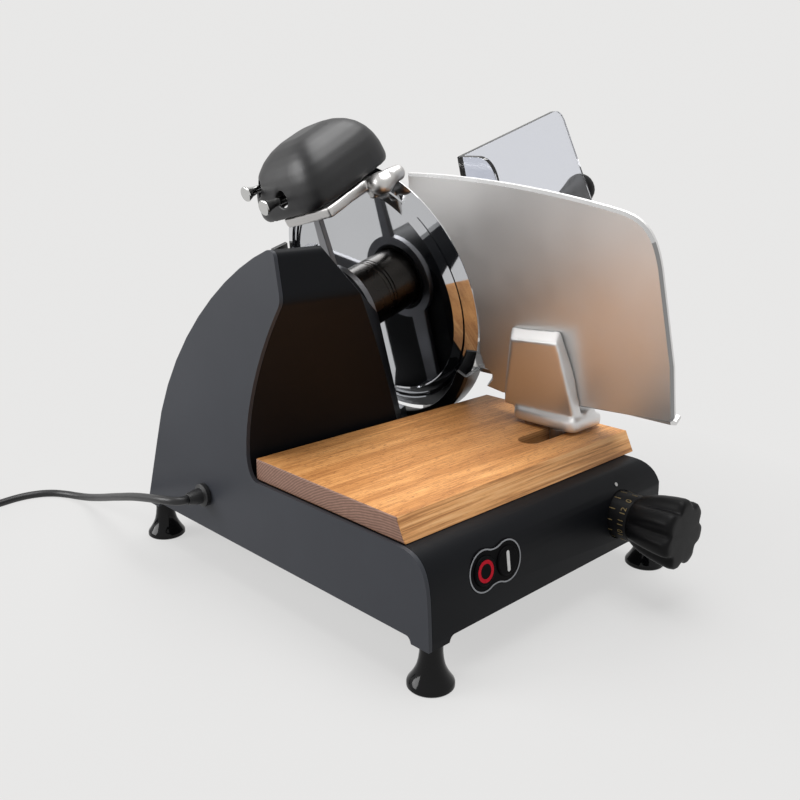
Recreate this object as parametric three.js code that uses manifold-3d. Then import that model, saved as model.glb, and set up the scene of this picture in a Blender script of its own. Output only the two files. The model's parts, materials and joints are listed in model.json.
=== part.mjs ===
// Domestic food slicer with a tilted round blade, oak board, thickness knob and sliding carriage.
// Millimetres, +Z up. X runs along the front face, Y runs from the operator to the back.
import * as THREE from 'three';
import { ConvexGeometry } from 'three/addons/geometries/ConvexGeometry.js';
import { mergeVertices } from 'three/addons/utils/BufferGeometryUtils.js';
import Module from 'manifold-3d';

const wasm = await Module();
wasm.setup();

const v2 = (a, b) => new THREE.Vector2(a, b);
const v3 = (x, y, z) => new THREE.Vector3(x, y, z);

// General
const GAP = 0.3;
const CURVE_STEPS = 4;
const OUTLINE_STEPS = 10;
const ROUND_STEPS = 36;
const WELD = 1e-3;
const DEGREE = Math.PI / 180;

// Base box: left and right end, underside, deck, and the side view's front and rear
const BODY_LEFT = -137.9;
const BODY_RIGHT = 138;
const END_CORNER_R = 12;
const END_EDGE = { across: 24, down: 46 };
const BASE_Z = 35.2;
const DECK_Z = 95;
const WALL = 4;
const FRONT_Y = -177.2;
const REAR_Y = 168;
const REAR_TOP_Y = 147;
const REAR_TOP_Z = 93.6;
const COVER_THICKNESS = 3.2;
const COVER_X = BODY_LEFT - GAP - COVER_THICKNESS;
const PLATE_THICKNESS = 2;
const TOWER_FOOT_Y = 14.6;
const TOWER_TOP_Z = 269.5;

// Lower deck behind the board, under the blade
const WELL_Y = 18;
const WELL_Z = 64;

// Feet, each under a short lug at a corner of the base
const LUG = { depth: 4.6, length: 21, slope: 5 };
const LUG_ENDS = [[FRONT_Y, FRONT_Y + LUG.length], [REAR_Y, REAR_Y - LUG.length]];
const FOOT_X = 130.4;
const FOOT_FRONT_Y = -169;
const FOOT_REAR_Y = 160.4;
const FOOT_TOP_Z = BASE_Z - LUG.depth - GAP;

// Cutting head: everything on it is drawn as (offset from the blade plane, Y, up the blade)
const TILT = 17.4 * DEGREE;
const BLADE_CENTRE = v3(77.5, 107, 205.5);
const BLADE_R = 125;
const HUB_FACE = -46;
const HUB_BACK = -66;
const HUB_R = 30;
const HUMP_R = 42;
const HUMP_END = -100;
const RING_R = 133;
const RING_WALL = 3.5;
const RING_BACK = -20;
const RING_LIP_R = 121;

// Belt drive
const BELT_DROP = 88;
const PULLEY_R = 33;
const MOTOR_PULLEY_R = 11;
const BELT_THICKNESS = 2.6;
const BELT_FROM = -82;
const BELT_TO = -70;
const MOTOR_R = 28;
const MOTOR_FROM = -90;
const MOTOR_TO = -170;
const SHAFT_R = 8;
const MOTOR_SHAFT_R = 5;

// Sharpener over the rear top of the blade, turned back round the blade axis; its hood is tipped as well
const SHARPENER_TURN = 12.5 * DEGREE;
const COVER_TIP = 9.9 * DEGREE;
const COVER_CENTRE = v3(-30, -22, 112);
const COVER_HALF_T = 52.5;
const COVER_HALF_N = 50;
const COVER_RISE = 47.7;
const COVER_SKIRT = 8.1;
const COVER_LEAN = { n: 2.7, t: -4.8 };
const COVER_WALL = 3;
const COVER_CORNER = 0.45;
const SHARPEN_BUTTON = { t: 10.3, r: 127.4, head: -88 };
const DEBURR_BUTTON = { t: -25, r: 113.2, head: -99 };
const BUTTON_HEAD_R = 6.8;
const STONE_R = 11;

// Thickness gauge
const PLATE_BACK = -6;
const PLATE_FACE = 0;
const PLATE_CHAMFER = 2;
const PLATE_ARC_R = 130;
const RIB_PITCH = 12;
const RIB_DEPTH = 2.4;
const STEM = { x: 90, y: -104 };
const STEM_R = 8.5;
const SLOT_HALF = 9.5;
const SLOT_END_X = 49.5;
const GUIDE_Z = 60;

// Board
const BOARD = { left: -137.4, right: 129, front: -143, frontFoot: -151, back: 8.5, top: 111.7 };
const PLINTH_Z = BOARD.top + 2.2;

// Knob on the front wall
const KNOB = { x: 77, z: 61.5 };
const COLLAR_BACK_Y = -171.7;
const COLLAR_FRONT_Y = -190;
const COLLAR_R = 18.5;
const KNOB_LOBES = 7;
const CAM = { low: 10, lift: 15, sweep: 330 * DEGREE };

// Switch on the front wall
const SWITCH = { x: -75, y: -172.3, z: 68, lean: -8 * DEGREE };
const SWITCH_PITCH = 11.6;
const SWITCH_LOBE_R = 15;
const SWITCH_LOBE_END = 115 * DEGREE;
const SWITCH_WAIST = 3.15;
const SWITCH_BUTTON_R = 10.5;

// Carriage on the food side of the blade
const TRAY = { near: 3, far: 160, front: -132, back: 48, top: -64, thickness: 4 };
const ROD = { x: 114, z: 51, r: 6 };
const ARM_X = 148;
const ARM_Y = 97;
const ARM_HALF = 11;
const CARRIAGE_FORWARD = 150;
const CARRIAGE_BACK = 30;
const PUSHER_ROD = { y: -112, up: -48, r: 5 };
const PUSHER_FACE = 136;
const PUSHER_KNOB = { y: -104, up: 36 };
const GUARD = { back: -125, near: 10, top: 127, foot: -38, thickness: 4, wingFront: -163, wingFoot: 30 };

// Cord
const CORD_R = 3.5;
const GLAND = { y: 75, z: 65, end: -158 };
const COIL = { x: -272, y: 361, outer: 51, pitch: 7.6, turns: 6, low: 5.3, high: 13, start: -79 };
const PLUG_AXIS_Z = 18.2;

const basis = (a, b, c) => new THREE.Matrix4().makeBasis(a, b, c);

// Outline directions and direction of growth of an extrusion
const ALONG_X = basis(v3(0, 1, 0), v3(0, 0, 1), v3(1, 0, 0));
const ALONG_MINUS_Y = basis(v3(1, 0, 0), v3(0, 0, 1), v3(0, -1, 0));
const ALONG_Z = new THREE.Matrix4();

// Directions of a turned profile's axis
const ROUND_X = basis(v3(0, 1, 0), v3(1, 0, 0), v3(0, 0, -1));
const ROUND_Y = new THREE.Matrix4();
const ROUND_Z = basis(v3(1, 0, 0), v3(0, 0, 1), v3(0, -1, 0));

const HEAD = new THREE.Matrix4().makeRotationY(-TILT).setPosition(BLADE_CENTRE);
const inHead = (geometry) => geometry.applyMatrix4(HEAD);
const headPoint = (off, y, up) => v3(off, y, up).applyMatrix4(HEAD);

const paint = (color, roughness, metalness, opacity = 1) => new THREE.MeshStandardMaterial(
  { color, roughness, metalness, opacity, transparent: opacity < 1 });
const MATERIAL = {
  blackPaint: paint(0x1c1d20, 0.42, 0.1),
  glossBlack: paint(0x0b0b0c, 0.2, 0),
  matteBlack: paint(0x1a1a1b, 0.6, 0),
  castAluminium: paint(0xb9b8b5, 0.38, 1),
  polishedSteel: paint(0xd4d6d8, 0.08, 1),
  brushedSteel: paint(0x9a9a9c, 0.35, 1),
  chrome: paint(0xdadada, 0.06, 1),
  darkSteel: paint(0x4a4a4c, 0.5, 0.8),
  oak: paint(0xb5763d, 0.55, 0),
  clear: paint(0xdfe6ee, 0.05, 0, 0.35),
  rubber: paint(0x151515, 0.7, 0),
  stone: paint(0x5b5550, 0.9, 0),
  red: paint(0x201010, 0.3, 0),
};

// A welded copy of a geometry with collapsed triangles removed and its faces turned outwards.
function weld(geometry) {
  const bare = geometry.clone();
  bare.deleteAttribute('normal');
  bare.deleteAttribute('uv');
  const merged = mergeVertices(bare, WELD);
  const position = merged.attributes.position;
  const index = merged.index.array;
  const kept = [];
  const a = v3(0, 0, 0);
  const b = v3(0, 0, 0);
  const c = v3(0, 0, 0);
  let volume = 0;
  for (let i = 0; i < index.length; i += 3) {
    const [p, q, r] = [index[i], index[i + 1], index[i + 2]];
    if (p === q || q === r || r === p) continue;
    kept.push(p, q, r);
    a.fromBufferAttribute(position, p);
    b.fromBufferAttribute(position, q);
    c.fromBufferAttribute(position, r);
    volume += a.dot(b.cross(c));
  }
  merged.setIndex(volume < 0 ? kept.reverse() : kept);
  return merged;
}

function toSolid(geometry) {
  const welded = weld(geometry);
  const mesh = new wasm.Mesh({
    numProp: 3,
    vertProperties: new Float32Array(welded.attributes.position.array),
    triVerts: new Uint32Array(welded.index.array),
  });
  return new wasm.Manifold(mesh);
}

function fromSolid(solid) {
  const mesh = solid.getMesh();
  const geometry = new THREE.BufferGeometry();
  geometry.setAttribute('position', new THREE.BufferAttribute(mesh.vertProperties, 3));
  geometry.setIndex(new THREE.BufferAttribute(mesh.triVerts, 1));
  return geometry;
}

const join = (first, ...rest) => fromSolid(
  rest.reduce((sum, next) => sum.add(toSolid(next)), toSolid(first)));
const cut = (first, ...rest) => fromSolid(
  rest.reduce((sum, next) => sum.subtract(toSolid(next)), toSolid(first)));
const common = (first, second) => fromSolid(toSolid(first).intersect(toSolid(second)));

function extrude(shape, direction, from, to, bevel = 0, curveSegments = CURVE_STEPS) {
  const geometry = new THREE.ExtrudeGeometry(shape, {
    depth: to - from - 2 * bevel,
    curveSegments,
    bevelEnabled: bevel > 0,
    bevelThickness: bevel,
    bevelSize: bevel,
    bevelOffset: -bevel,
    bevelSegments: 1,
  });
  geometry.translate(0, 0, from + bevel);
  return geometry.applyMatrix4(direction);
}

// A turned solid: the profile is a list of [radius, height] along the axis.
function turn(profile, direction, steps = ROUND_STEPS) {
  const points = profile.map(([radius, height]) => v2(radius, height));
  return new THREE.LatheGeometry(points, steps).applyMatrix4(direction);
}

const rod = (radius, from, to, direction, steps = ROUND_STEPS) =>
  turn([[0, from], [radius, from], [radius, to], [0, to]], direction, steps);

const ringOf = (inner, outer, from, to, direction, steps = ROUND_STEPS) =>
  turn([[inner, from], [outer, from], [outer, to], [inner, to], [inner, from]], direction, steps);

function block(low, high) {
  const size = high.map((value, i) => value - low[i]);
  const box = new THREE.BoxGeometry(...size);
  return box.translate(...low.map((value, i) => value + size[i] / 2));
}

const polygon = (points) => new THREE.Shape(points.map(([a, b]) => v2(a, b)));

function roundedBox(x0, y0, x1, y1, radius) {
  const shape = new THREE.Shape();
  shape.moveTo(x0 + radius, y0);
  shape.lineTo(x1 - radius, y0);
  shape.absarc(x1 - radius, y0 + radius, radius, -Math.PI / 2, 0, false);
  shape.lineTo(x1, y1 - radius);
  shape.absarc(x1 - radius, y1 - radius, radius, 0, Math.PI / 2, false);
  shape.lineTo(x0 + radius, y1);
  shape.absarc(x0 + radius, y1 - radius, radius, Math.PI / 2, Math.PI, false);
  shape.lineTo(x0, y0 + radius);
  shape.absarc(x0 + radius, y0 + radius, radius, Math.PI, 1.5 * Math.PI, false);
  return shape;
}

// A solid through closed rings of equal length, capped at both ends.
function loft(rings) {
  const count = rings[0].length;
  const centre = (ring) => ring.reduce((sum, p) => sum.add(p), v3(0, 0, 0)).divideScalar(count);
  const points = [...rings.flat(), centre(rings[0]), centre(rings[rings.length - 1])];
  const index = [];
  const last = (rings.length - 1) * count;
  for (let j = 0; j < count; j += 1) {
    const k = (j + 1) % count;
    for (let i = 0; i < last; i += count) {
      index.push(i + j, i + k, i + count + j, i + k, i + count + k, i + count + j);
    }
    index.push(last + count, k, j, last + count + 1, last + j, last + k);
  }
  const geometry = new THREE.BufferGeometry().setFromPoints(points);
  geometry.setIndex(index);
  return geometry;
}

// A large block filling the space beyond a plane.
function beyond(point, normal) {
  const size = 900;
  const box = new THREE.BoxGeometry(size, size, size).translate(0, 0, size / 2);
  const spin = new THREE.Quaternion().setFromUnitVectors(v3(0, 0, 1), normal.clone().normalize());
  return box.applyQuaternion(spin).translate(point.x, point.y, point.z);
}

// The space to the right of a plane through three points; the plane can be moved inwards.
function rightPlane(a, b, c) {
  const normal = v3(0, 0, 0).crossVectors(b.clone().sub(a), c.clone().sub(a)).normalize();
  if (normal.x < 0) normal.negate();
  return (inset) => beyond(a.clone().addScaledVector(normal, -inset), normal);
}

function tube(curve, radius, steps, sides) {
  const section = new THREE.Shape();
  for (let i = 0; i < sides; i += 1) {
    const angle = (2 * Math.PI * i) / sides;
    const point = [radius * Math.cos(angle), radius * Math.sin(angle)];
    if (i === 0) section.moveTo(...point);
    else section.lineTo(...point);
  }
  return new THREE.ExtrudeGeometry(section, { steps, extrudePath: curve, bevelEnabled: false });
}

const machine = new THREE.Group();
const head = new THREE.Group();
head.position.copy(BLADE_CENTRE);
head.rotation.y = -TILT;
const sharpener = new THREE.Group();
sharpener.rotation.x = -SHARPENER_TURN;
head.add(sharpener);
const switchSeat = new THREE.Group();
switchSeat.position.set(SWITCH.x, SWITCH.y, SWITCH.z);
switchSeat.rotation.x = SWITCH.lean;
const knobSeat = new THREE.Group();
knobSeat.position.set(KNOB.x, 0, KNOB.z);
const cordGroup = new THREE.Group();
machine.add(head, switchSeat, knobSeat, cordGroup);

function part(parent, name, geometry, material) {
  const mesh = new THREE.Mesh(weld(geometry), material);
  mesh.name = name;
  parent.add(mesh);
}

// Side view of the base's front: a nearly upright wall rolling over into the deck.
function drawFront(shape) {
  shape.moveTo(FRONT_Y, BASE_Z);
  shape.lineTo(-175.6, 60);
  shape.bezierCurveTo(-174, 84, -168, DECK_Z, -148, DECK_Z);
}

// Side view of the tower: overhanging front, blunt nose and one long curve down the back.
function drawTower(shape) {
  shape.bezierCurveTo(14.5, 150, -4, 194, -29.4, 230.5);
  shape.quadraticCurveTo(-32.6, 235, -31.4, 241);
  shape.lineTo(-27, 264);
  shape.quadraticCurveTo(-26, TOWER_TOP_Z + 1, -19, TOWER_TOP_Z);
  shape.bezierCurveTo(30, 252, 118, 190, REAR_TOP_Y, REAR_TOP_Z);
}

function makeHousing() {
  const baseSide = new THREE.Shape();
  drawFront(baseSide);
  baseSide.lineTo(REAR_TOP_Y - 2, DECK_Z);
  baseSide.lineTo(REAR_Y, BASE_Z);
  const box = common(
    common(extrude(baseSide, ALONG_X, BODY_LEFT, BODY_RIGHT, 0, OUTLINE_STEPS), endRounding(0)),
    edgeRounding(0),
  );

  const towerSide = new THREE.Shape();
  towerSide.moveTo(TOWER_FOOT_Y, DECK_Z - 8);
  towerSide.lineTo(TOWER_FOOT_Y, 114);
  drawTower(towerSide);
  towerSide.lineTo(REAR_TOP_Y, DECK_Z - 8);
  const towerBlock = extrude(towerSide, ALONG_X, BODY_LEFT, 95, 0, OUTLINE_STEPS);

  // The tower's right side runs from the front edge to the blade hub, with a sloping shoulder at the top.
  const edgeLow = v3(15, TOWER_FOOT_Y, 112);
  const edgeHigh = v3(-68.2, -32.2, 234);
  const flank = rightPlane(edgeLow, edgeHigh, v3(48.5, 74, 198));
  const shoulder = rightPlane(edgeHigh, v3(-98, -24, 269.4), v3(0, 89, 249));
  const bladeNormal = v3(Math.cos(TILT), 0, Math.sin(TILT));

  const hump = join(
    inHead(turn([[0, HUMP_END - 32], [20, HUMP_END - 28], [34, HUMP_END - 16], [HUMP_R, HUMP_END],
      [HUMP_R, HUB_FACE], [0, HUB_FACE]], ROUND_X, 32)),
    inHead(block([HUMP_END, -HUMP_R, -118], [HUB_FACE, HUMP_R, 0])),
  );
  const tower = cut(towerBlock, beyond(headPoint(HUB_FACE, 0, 0), bladeNormal), shoulder(0));
  const shell = cut(join(tower, hump), flank(0));

  const wellRoom = (inset) => cut(
    block([0, WELL_Y - inset, WELL_Z - inset], [BODY_RIGHT + 20, REAR_Y + 20, DECK_Z + 1]),
    beyond(headPoint(HUB_FACE - inset, 0, 0), bladeNormal.clone().negate()),
  );
  const outside = join(cut(box, wellRoom(0)), shell);

  // Inside: the base is open underneath and the tower is open to the left, behind the side cover.
  const roomSide = polygon([[-171, BASE_Z - 9], [-169.5, 62], [-163, 85], [-150, DECK_Z - WALL - 1],
    [REAR_TOP_Y - 6, DECK_Z - WALL - 1], [REAR_Y - 7, 36], [REAR_Y - 7, BASE_Z - 9]]);
  const room = common(extrude(roomSide, ALONG_X, BODY_LEFT - 9, BODY_RIGHT), endRounding(WALL));
  const baseRoom = cut(common(room, edgeRounding(WALL)), wellRoom(WALL));
  const towerRoom = cut(
    extrude(polygon([[20, 84], [19, 125], [13, 156], [3, 184], [-12, 212], [-26, 234], [-22, 260],
      [2, 250], [32, 233], [60, 211], [86, 185], [108, 155], [126, 125], [141, 84]]),
    ALONG_X, BODY_LEFT - 9, 90),
    beyond(headPoint(HUB_FACE - WALL, 0, 0), bladeNormal),
    flank(WALL),
    shoulder(WALL),
  );
  const humpRoom = cut(
    join(
      inHead(turn([[0, HUMP_END - 27], [18, HUMP_END - 24], [31, HUMP_END - 13], [HUMP_R - WALL, HUMP_END],
        [HUMP_R - WALL, HUB_FACE - WALL], [0, HUB_FACE - WALL]], ROUND_X, 20)),
      inHead(block([HUMP_END + WALL, WALL - HUMP_R, -116], [HUB_FACE - WALL, HUMP_R - WALL, 0])),
    ),
    flank(WALL),
  );
  const hubBore = inHead(rod(HUB_R + GAP, HUB_FACE - WALL - 5, HUB_FACE + 5, ROUND_X));

  // Openings: gauge slot in the deck, carriage slot in the right wall, knob seat and switch seat.
  const gaugeSlot = block([32, STEM.y - SLOT_HALF, DECK_Z - 9], [112, STEM.y + SLOT_HALF, DECK_Z + 1]);
  const armSlot = block(
    [BODY_RIGHT - WALL - 6, ARM_Y - CARRIAGE_FORWARD - ARM_HALF - 2, ROD.z - 5.5],
    [BODY_RIGHT + 5, ARM_Y + CARRIAGE_BACK + ARM_HALF + 2, ROD.z + 5.5],
  );
  const knobSeatHole = rod(COLLAR_R + 0.8, COLLAR_BACK_Y - 30, COLLAR_BACK_Y + GAP, ROUND_Y)
    .translate(KNOB.x, 0, KNOB.z);
  const shaftHole = rod(6.5, -180, -160, ROUND_Y, 24).translate(KNOB.x, 0, KNOB.z);
  const switchHole = join(
    extrude(switchOutline(GAP), ALONG_MINUS_Y, 0, 12, 0, OUTLINE_STEPS),
    ...[-1, 1].map((side) => rod(SWITCH_BUTTON_R + GAP, -12, 14, ROUND_Y, 24)
      .translate(side * SWITCH_PITCH, 0, 0)),
  ).rotateX(SWITCH.lean).translate(SWITCH.x, SWITCH.y, SWITCH.z);
  const rooms = [baseRoom, towerRoom, humpRoom, hubBore];
  const openings = [gaugeSlot, armSlot, knobSeatHole, shaftHole, switchHole];
  return join(cut(outside, ...rooms, ...openings), ...makeLugs());
}

// A short sloping step down from the base's underside, between its outer end and its inner end.
function drawLug(outer, inner) {
  const side = Math.sign(inner - outer);
  const shape = new THREE.Shape();
  shape.moveTo(outer, BASE_Z + GAP / 2);
  shape.lineTo(outer, BASE_Z - LUG.depth);
  shape.lineTo(inner - side * LUG.slope, BASE_Z - LUG.depth);
  shape.quadraticCurveTo(inner - side * LUG.slope * 0.8, BASE_Z, inner, BASE_Z + GAP / 2);
  return shape;
}

// Corner lugs of the housing, over the feet.
function makeLugs() {
  const sides = [[BODY_LEFT, BODY_LEFT + LUG.length], [BODY_RIGHT, BODY_RIGHT - LUG.length]];
  return LUG_ENDS.flatMap((end) => sides.map((side) => common(
    common(
      extrude(drawLug(...end), ALONG_X, Math.min(...side), Math.max(...side)),
      extrude(drawLug(...side), ALONG_MINUS_Y, -Math.max(...end), -Math.min(...end)),
    ),
    endRounding(0),
  )));
}

// Plan of the base with its two right corners rounded.
function endRounding(inset) {
  const right = BODY_RIGHT - inset;
  const front = FRONT_Y + inset;
  const rear = REAR_Y - inset;
  const plan = new THREE.Shape();
  plan.moveTo(BODY_LEFT - 20, front);
  plan.lineTo(right - END_CORNER_R, front);
  plan.absarc(right - END_CORNER_R, front + END_CORNER_R, END_CORNER_R, -Math.PI / 2, 0, false);
  plan.absarc(right - END_CORNER_R, rear - END_CORNER_R, END_CORNER_R, 0, Math.PI / 2, false);
  plan.lineTo(BODY_LEFT - 20, rear);
  return extrude(plan, ALONG_Z, 0, DECK_Z + 9, 0, 6);
}

// Front view of the base with its right end rolling over into the deck.
function edgeRounding(inset) {
  const right = BODY_RIGHT - inset;
  const top = DECK_Z - inset;
  const { across, down } = END_EDGE;
  const view = new THREE.Shape();
  view.moveTo(BODY_LEFT - 20, 0);
  view.lineTo(right, 0);
  view.absellipse(right - across, top - down, across, down, 0, Math.PI / 2, false, 0);
  view.lineTo(BODY_LEFT - 20, top);
  return extrude(view, ALONG_MINUS_Y, -250, 250, 0, 8);
}

// Two round lobes side by side, joined by a shallow waist.
function switchOutline(grow) {
  const radius = SWITCH_LOBE_R + grow;
  const end = v2(SWITCH_PITCH + radius * Math.cos(SWITCH_LOBE_END), radius * Math.sin(SWITCH_LOBE_END));
  const along = v2(-Math.sin(SWITCH_LOBE_END), Math.cos(SWITCH_LOBE_END));
  const pull = along.multiplyScalar(SWITCH_WAIST).add(end);
  const shape = new THREE.Shape();
  for (const side of [1, -1]) {
    const middle = side > 0 ? 0 : Math.PI;
    const [x, y] = [side * pull.x, side * pull.y];
    shape.absarc(side * SWITCH_PITCH, 0, radius, middle - SWITCH_LOBE_END, middle + SWITCH_LOBE_END, false);
    shape.bezierCurveTo(x, y, -x, y, -side * end.x, side * end.y);
  }
  return shape;
}

function makeSideCover() {
  const outline = new THREE.Shape();
  drawFront(outline);
  outline.lineTo(2, DECK_Z);
  outline.quadraticCurveTo(13, DECK_Z, TOWER_FOOT_Y, 114);
  drawTower(outline);
  outline.lineTo(REAR_Y, BASE_Z);
  const inner = COVER_X + COVER_THICKNESS;
  const lugs = LUG_ENDS.map((end) => extrude(drawLug(...end), ALONG_X, COVER_X, inner));
  const plate = join(extrude(outline, ALONG_X, COVER_X, inner, 0, OUTLINE_STEPS), ...lugs);
  const hole = rod(8.3, COVER_X - 5, BODY_LEFT + 5, ROUND_X, 24).translate(0, GLAND.y, GLAND.z);
  return cut(plate, hole);
}

function makeBase() {
  part(machine, 'base_housing', makeHousing(), MATERIAL.blackPaint);
  part(machine, 'side_cover', makeSideCover(), MATERIAL.blackPaint);
  const plateTop = BASE_Z - GAP;
  const bottom = roundedBox(COVER_X + 3, FRONT_Y + 3, BODY_RIGHT - 2, REAR_Y - 3, 8);
  const clear = LUG.length + 1;
  const corners = [COVER_X, BODY_RIGHT - clear].flatMap((x) => [FRONT_Y, REAR_Y - clear].map((y) => block(
    [x - 9, y - 9, BASE_Z - 9], [x + clear + 9, y + clear + 9, BASE_Z + 9])));
  const plate = cut(extrude(bottom, ALONG_Z, plateTop - PLATE_THICKNESS, plateTop), ...corners);
  part(machine, 'bottom_plate', plate, MATERIAL.darkSteel);

  const footProfile = [[0, 0], [15.4, 0], [16.2, 1], [16.2, 5.6], [15.2, 8.2], [12.4, 11.2], [9.9, 15.5],
    [8.4, 20.5], [7.7, FOOT_TOP_Z], [0, FOOT_TOP_Z]];
  const feet = { front_left: [-1, FOOT_FRONT_Y], front_right: [1, FOOT_FRONT_Y],
    rear_left: [-1, FOOT_REAR_Y], rear_right: [1, FOOT_REAR_Y] };
  for (const [place, [side, y]] of Object.entries(feet)) {
    const foot = turn(footProfile, ROUND_Z, 22).translate(side * FOOT_X, y, 0);
    part(machine, `foot_${place}`, foot, MATERIAL.glossBlack);
  }

  const glandProfile = [[0, BODY_LEFT + 4], [8, BODY_LEFT + 4], [8, COVER_X - GAP], [9.5, COVER_X - GAP],
    [9.5, COVER_X - 4], [6.6, COVER_X - 5], [6.2, COVER_X - 10], [4.6, GLAND.end], [0, GLAND.end]];
  const gland = turn(glandProfile, ROUND_X, 18).translate(0, GLAND.y, GLAND.z);
  part(machine, 'cord_gland', gland, MATERIAL.rubber);

  part(machine, 'cutting_board', makeBoard(), MATERIAL.oak);
}

function makeBoard() {
  const side = polygon([[BOARD.frontFoot, DECK_Z + GAP], [BOARD.back, DECK_Z + GAP], [BOARD.back, BOARD.top],
    [BOARD.front, BOARD.top]]);
  const slab = extrude(side, ALONG_X, BOARD.left, BOARD.right, 0.8);
  const slot = new THREE.Shape();
  slot.absarc(SLOT_END_X, STEM.y, SLOT_HALF, Math.PI / 2, 1.5 * Math.PI, false);
  slot.lineTo(BOARD.right + 5, STEM.y - SLOT_HALF);
  slot.lineTo(BOARD.right + 5, STEM.y + SLOT_HALF);
  return cut(slab, extrude(slot, ALONG_Z, DECK_Z - 2, BOARD.top + 2, 0, OUTLINE_STEPS));
}

function makeSwitch() {
  const buttonHoles = [-1, 1].map((side) => rod(SWITCH_BUTTON_R + GAP, -12, 12, ROUND_Y, 24)
    .translate(side * SWITCH_PITCH, 0, 0));
  const plate = cut(extrude(switchOutline(0), ALONG_MINUS_Y, GAP, 2.4, 0, OUTLINE_STEPS), ...buttonHoles);
  part(switchSeat, 'switch_plate', plate, MATERIAL.glossBlack);
  const buttons = { off_button: -1, on_button: 1 };
  for (const [name, side] of Object.entries(buttons)) {
    const button = turn([[0, 7], [SWITCH_BUTTON_R, 7], [SWITCH_BUTTON_R, -3], [SWITCH_BUTTON_R - 0.8, -3.8],
      [0, -3.8]], ROUND_Y, 24).translate(side * SWITCH_PITCH, 0, 0);
    part(switchSeat, name, button, MATERIAL.red);
  }
}

// Grip with round lobes that grow deeper towards its wide end.
function makeKnobGrip() {
  const stations = [[0, 17.8, 0.02], [4, 18.4, 0.06], [13, 20.2, 0.14], [24, 23.6, 0.19], [32, 26.8, 0.21],
    [37.5, 27.5, 0.21], [40.4, 26, 0.2]];
  const from = COLLAR_FRONT_Y - GAP;
  const count = KNOB_LOBES * 6;
  const rings = stations.map(([along, radius, depth]) => Array.from({ length: count }, (_, i) => {
    const angle = (2 * Math.PI * i) / count;
    const wave = 0.5 - 0.5 * Math.cos(KNOB_LOBES * angle);
    const reach = radius * (1 - depth * wave ** 2.2);
    return v3(reach * Math.sin(angle), from - along, reach * Math.cos(angle));
  }));
  return loft(rings);
}

function makeKnob() {
  part(knobSeat, 'thickness_knob', makeKnobGrip(), MATERIAL.matteBlack);
  const collar = turn([[0, COLLAR_FRONT_Y], [COLLAR_R - 1, COLLAR_FRONT_Y], [COLLAR_R, COLLAR_FRONT_Y + 2],
    [COLLAR_R, COLLAR_BACK_Y], [0, COLLAR_BACK_Y]], ROUND_Y, 48);
  part(knobSeat, 'dial_collar', collar, MATERIAL.matteBlack);
  part(knobSeat, 'knob_shaft', rod(6, COLLAR_BACK_Y + GAP, -132, ROUND_Y, 24), MATERIAL.darkSteel);

  // Snail cam: its reach towards the gauge follower grows with the knob's turn.
  const cam = new THREE.Shape();
  const steps = 28;
  for (let i = 0; i <= steps; i += 1) {
    const angle = Math.PI - (CAM.sweep * i) / steps;
    const reach = CAM.low + (CAM.lift * i) / steps;
    const point = [reach * Math.cos(angle), reach * Math.sin(angle)];
    if (i === 0) cam.moveTo(...point);
    else cam.lineTo(...point);
  }
  const disc = cut(extrude(cam, ALONG_MINUS_Y, 138, 144), rod(6 + GAP, -150, -132, ROUND_Y, 24));
  part(knobSeat, 'gauge_cam', disc, MATERIAL.darkSteel);
}

// The gauge plate: straight satin back, ribbed food side, and an edge that follows the blade.
function makeGaugePlate() {
  const outline = new THREE.Shape();
  const arcFrom = Math.atan2(116, -86);
  const arcTo = Math.atan2(-40, -123.5);
  outline.moveTo(-80, 117);
  outline.bezierCurveTo(-150, 117.5, -225, 110, -284, 96.5);
  outline.bezierCurveTo(-304, 91, -309, 80, -311, 56);
  outline.lineTo(-314, -20);
  outline.lineTo(-311.5, -62);
  outline.quadraticCurveTo(-311, -68, -305, -68.6);
  outline.lineTo(-256, -72);
  outline.lineTo(-142.3, -79.5);
  outline.lineTo(-125, -76.3);
  outline.lineTo(-133, -66.5);
  outline.quadraticCurveTo(-136, -58.5, -127, -58.5);
  outline.lineTo(PLATE_ARC_R * Math.cos(arcTo), PLATE_ARC_R * Math.sin(arcTo));
  outline.absarc(0, 0, PLATE_ARC_R, arcTo + 2 * Math.PI, arcFrom, true);
  const flat = extrude(outline, ALONG_X, PLATE_BACK, PLATE_FACE, PLATE_CHAMFER, 12);

  // Grooves of the food side run along the carriage's travel.
  const grooves = [];
  for (let up = -58; up < 108; up += RIB_PITCH) {
    grooves.push(rod(3.6, -330, -60, ROUND_Y, 6)
      .translate(PLATE_FACE + 3.6 - RIB_DEPTH, 0, up));
  }
  const lip = extrude(polygon([[-3, -71.6], [5, -76.4], [12.5, -73.4], [11.4, -71.1], [5, -73], [-3, -66]]),
    ALONG_MINUS_Y, 208, 307);
  return join(cut(flat, ...grooves), lip);
}

function makeBracket() {
  const plinth = extrude(roundedBox(79, -125, 122, -60, 7), ALONG_Z, PLINTH_Z, 125, 1.4);
  const low = [[83.5, -48], [84.5, -121], [115.5, -123], [107, -60]].map(([x, y]) => v3(x, y, 124));
  const high = [[-5, -218, -5], [-5, -167, -9], [-21, -177, -12.5], [-21, -224, -9]]
    .map((point) => headPoint(...point));
  const horn = new ConvexGeometry([...low, ...high]);
  const plateRoom = inHead(block([PLATE_BACK - GAP, -330, -80], [60, -60, 130]));
  return join(plinth, cut(horn, plateRoom));
}

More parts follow.
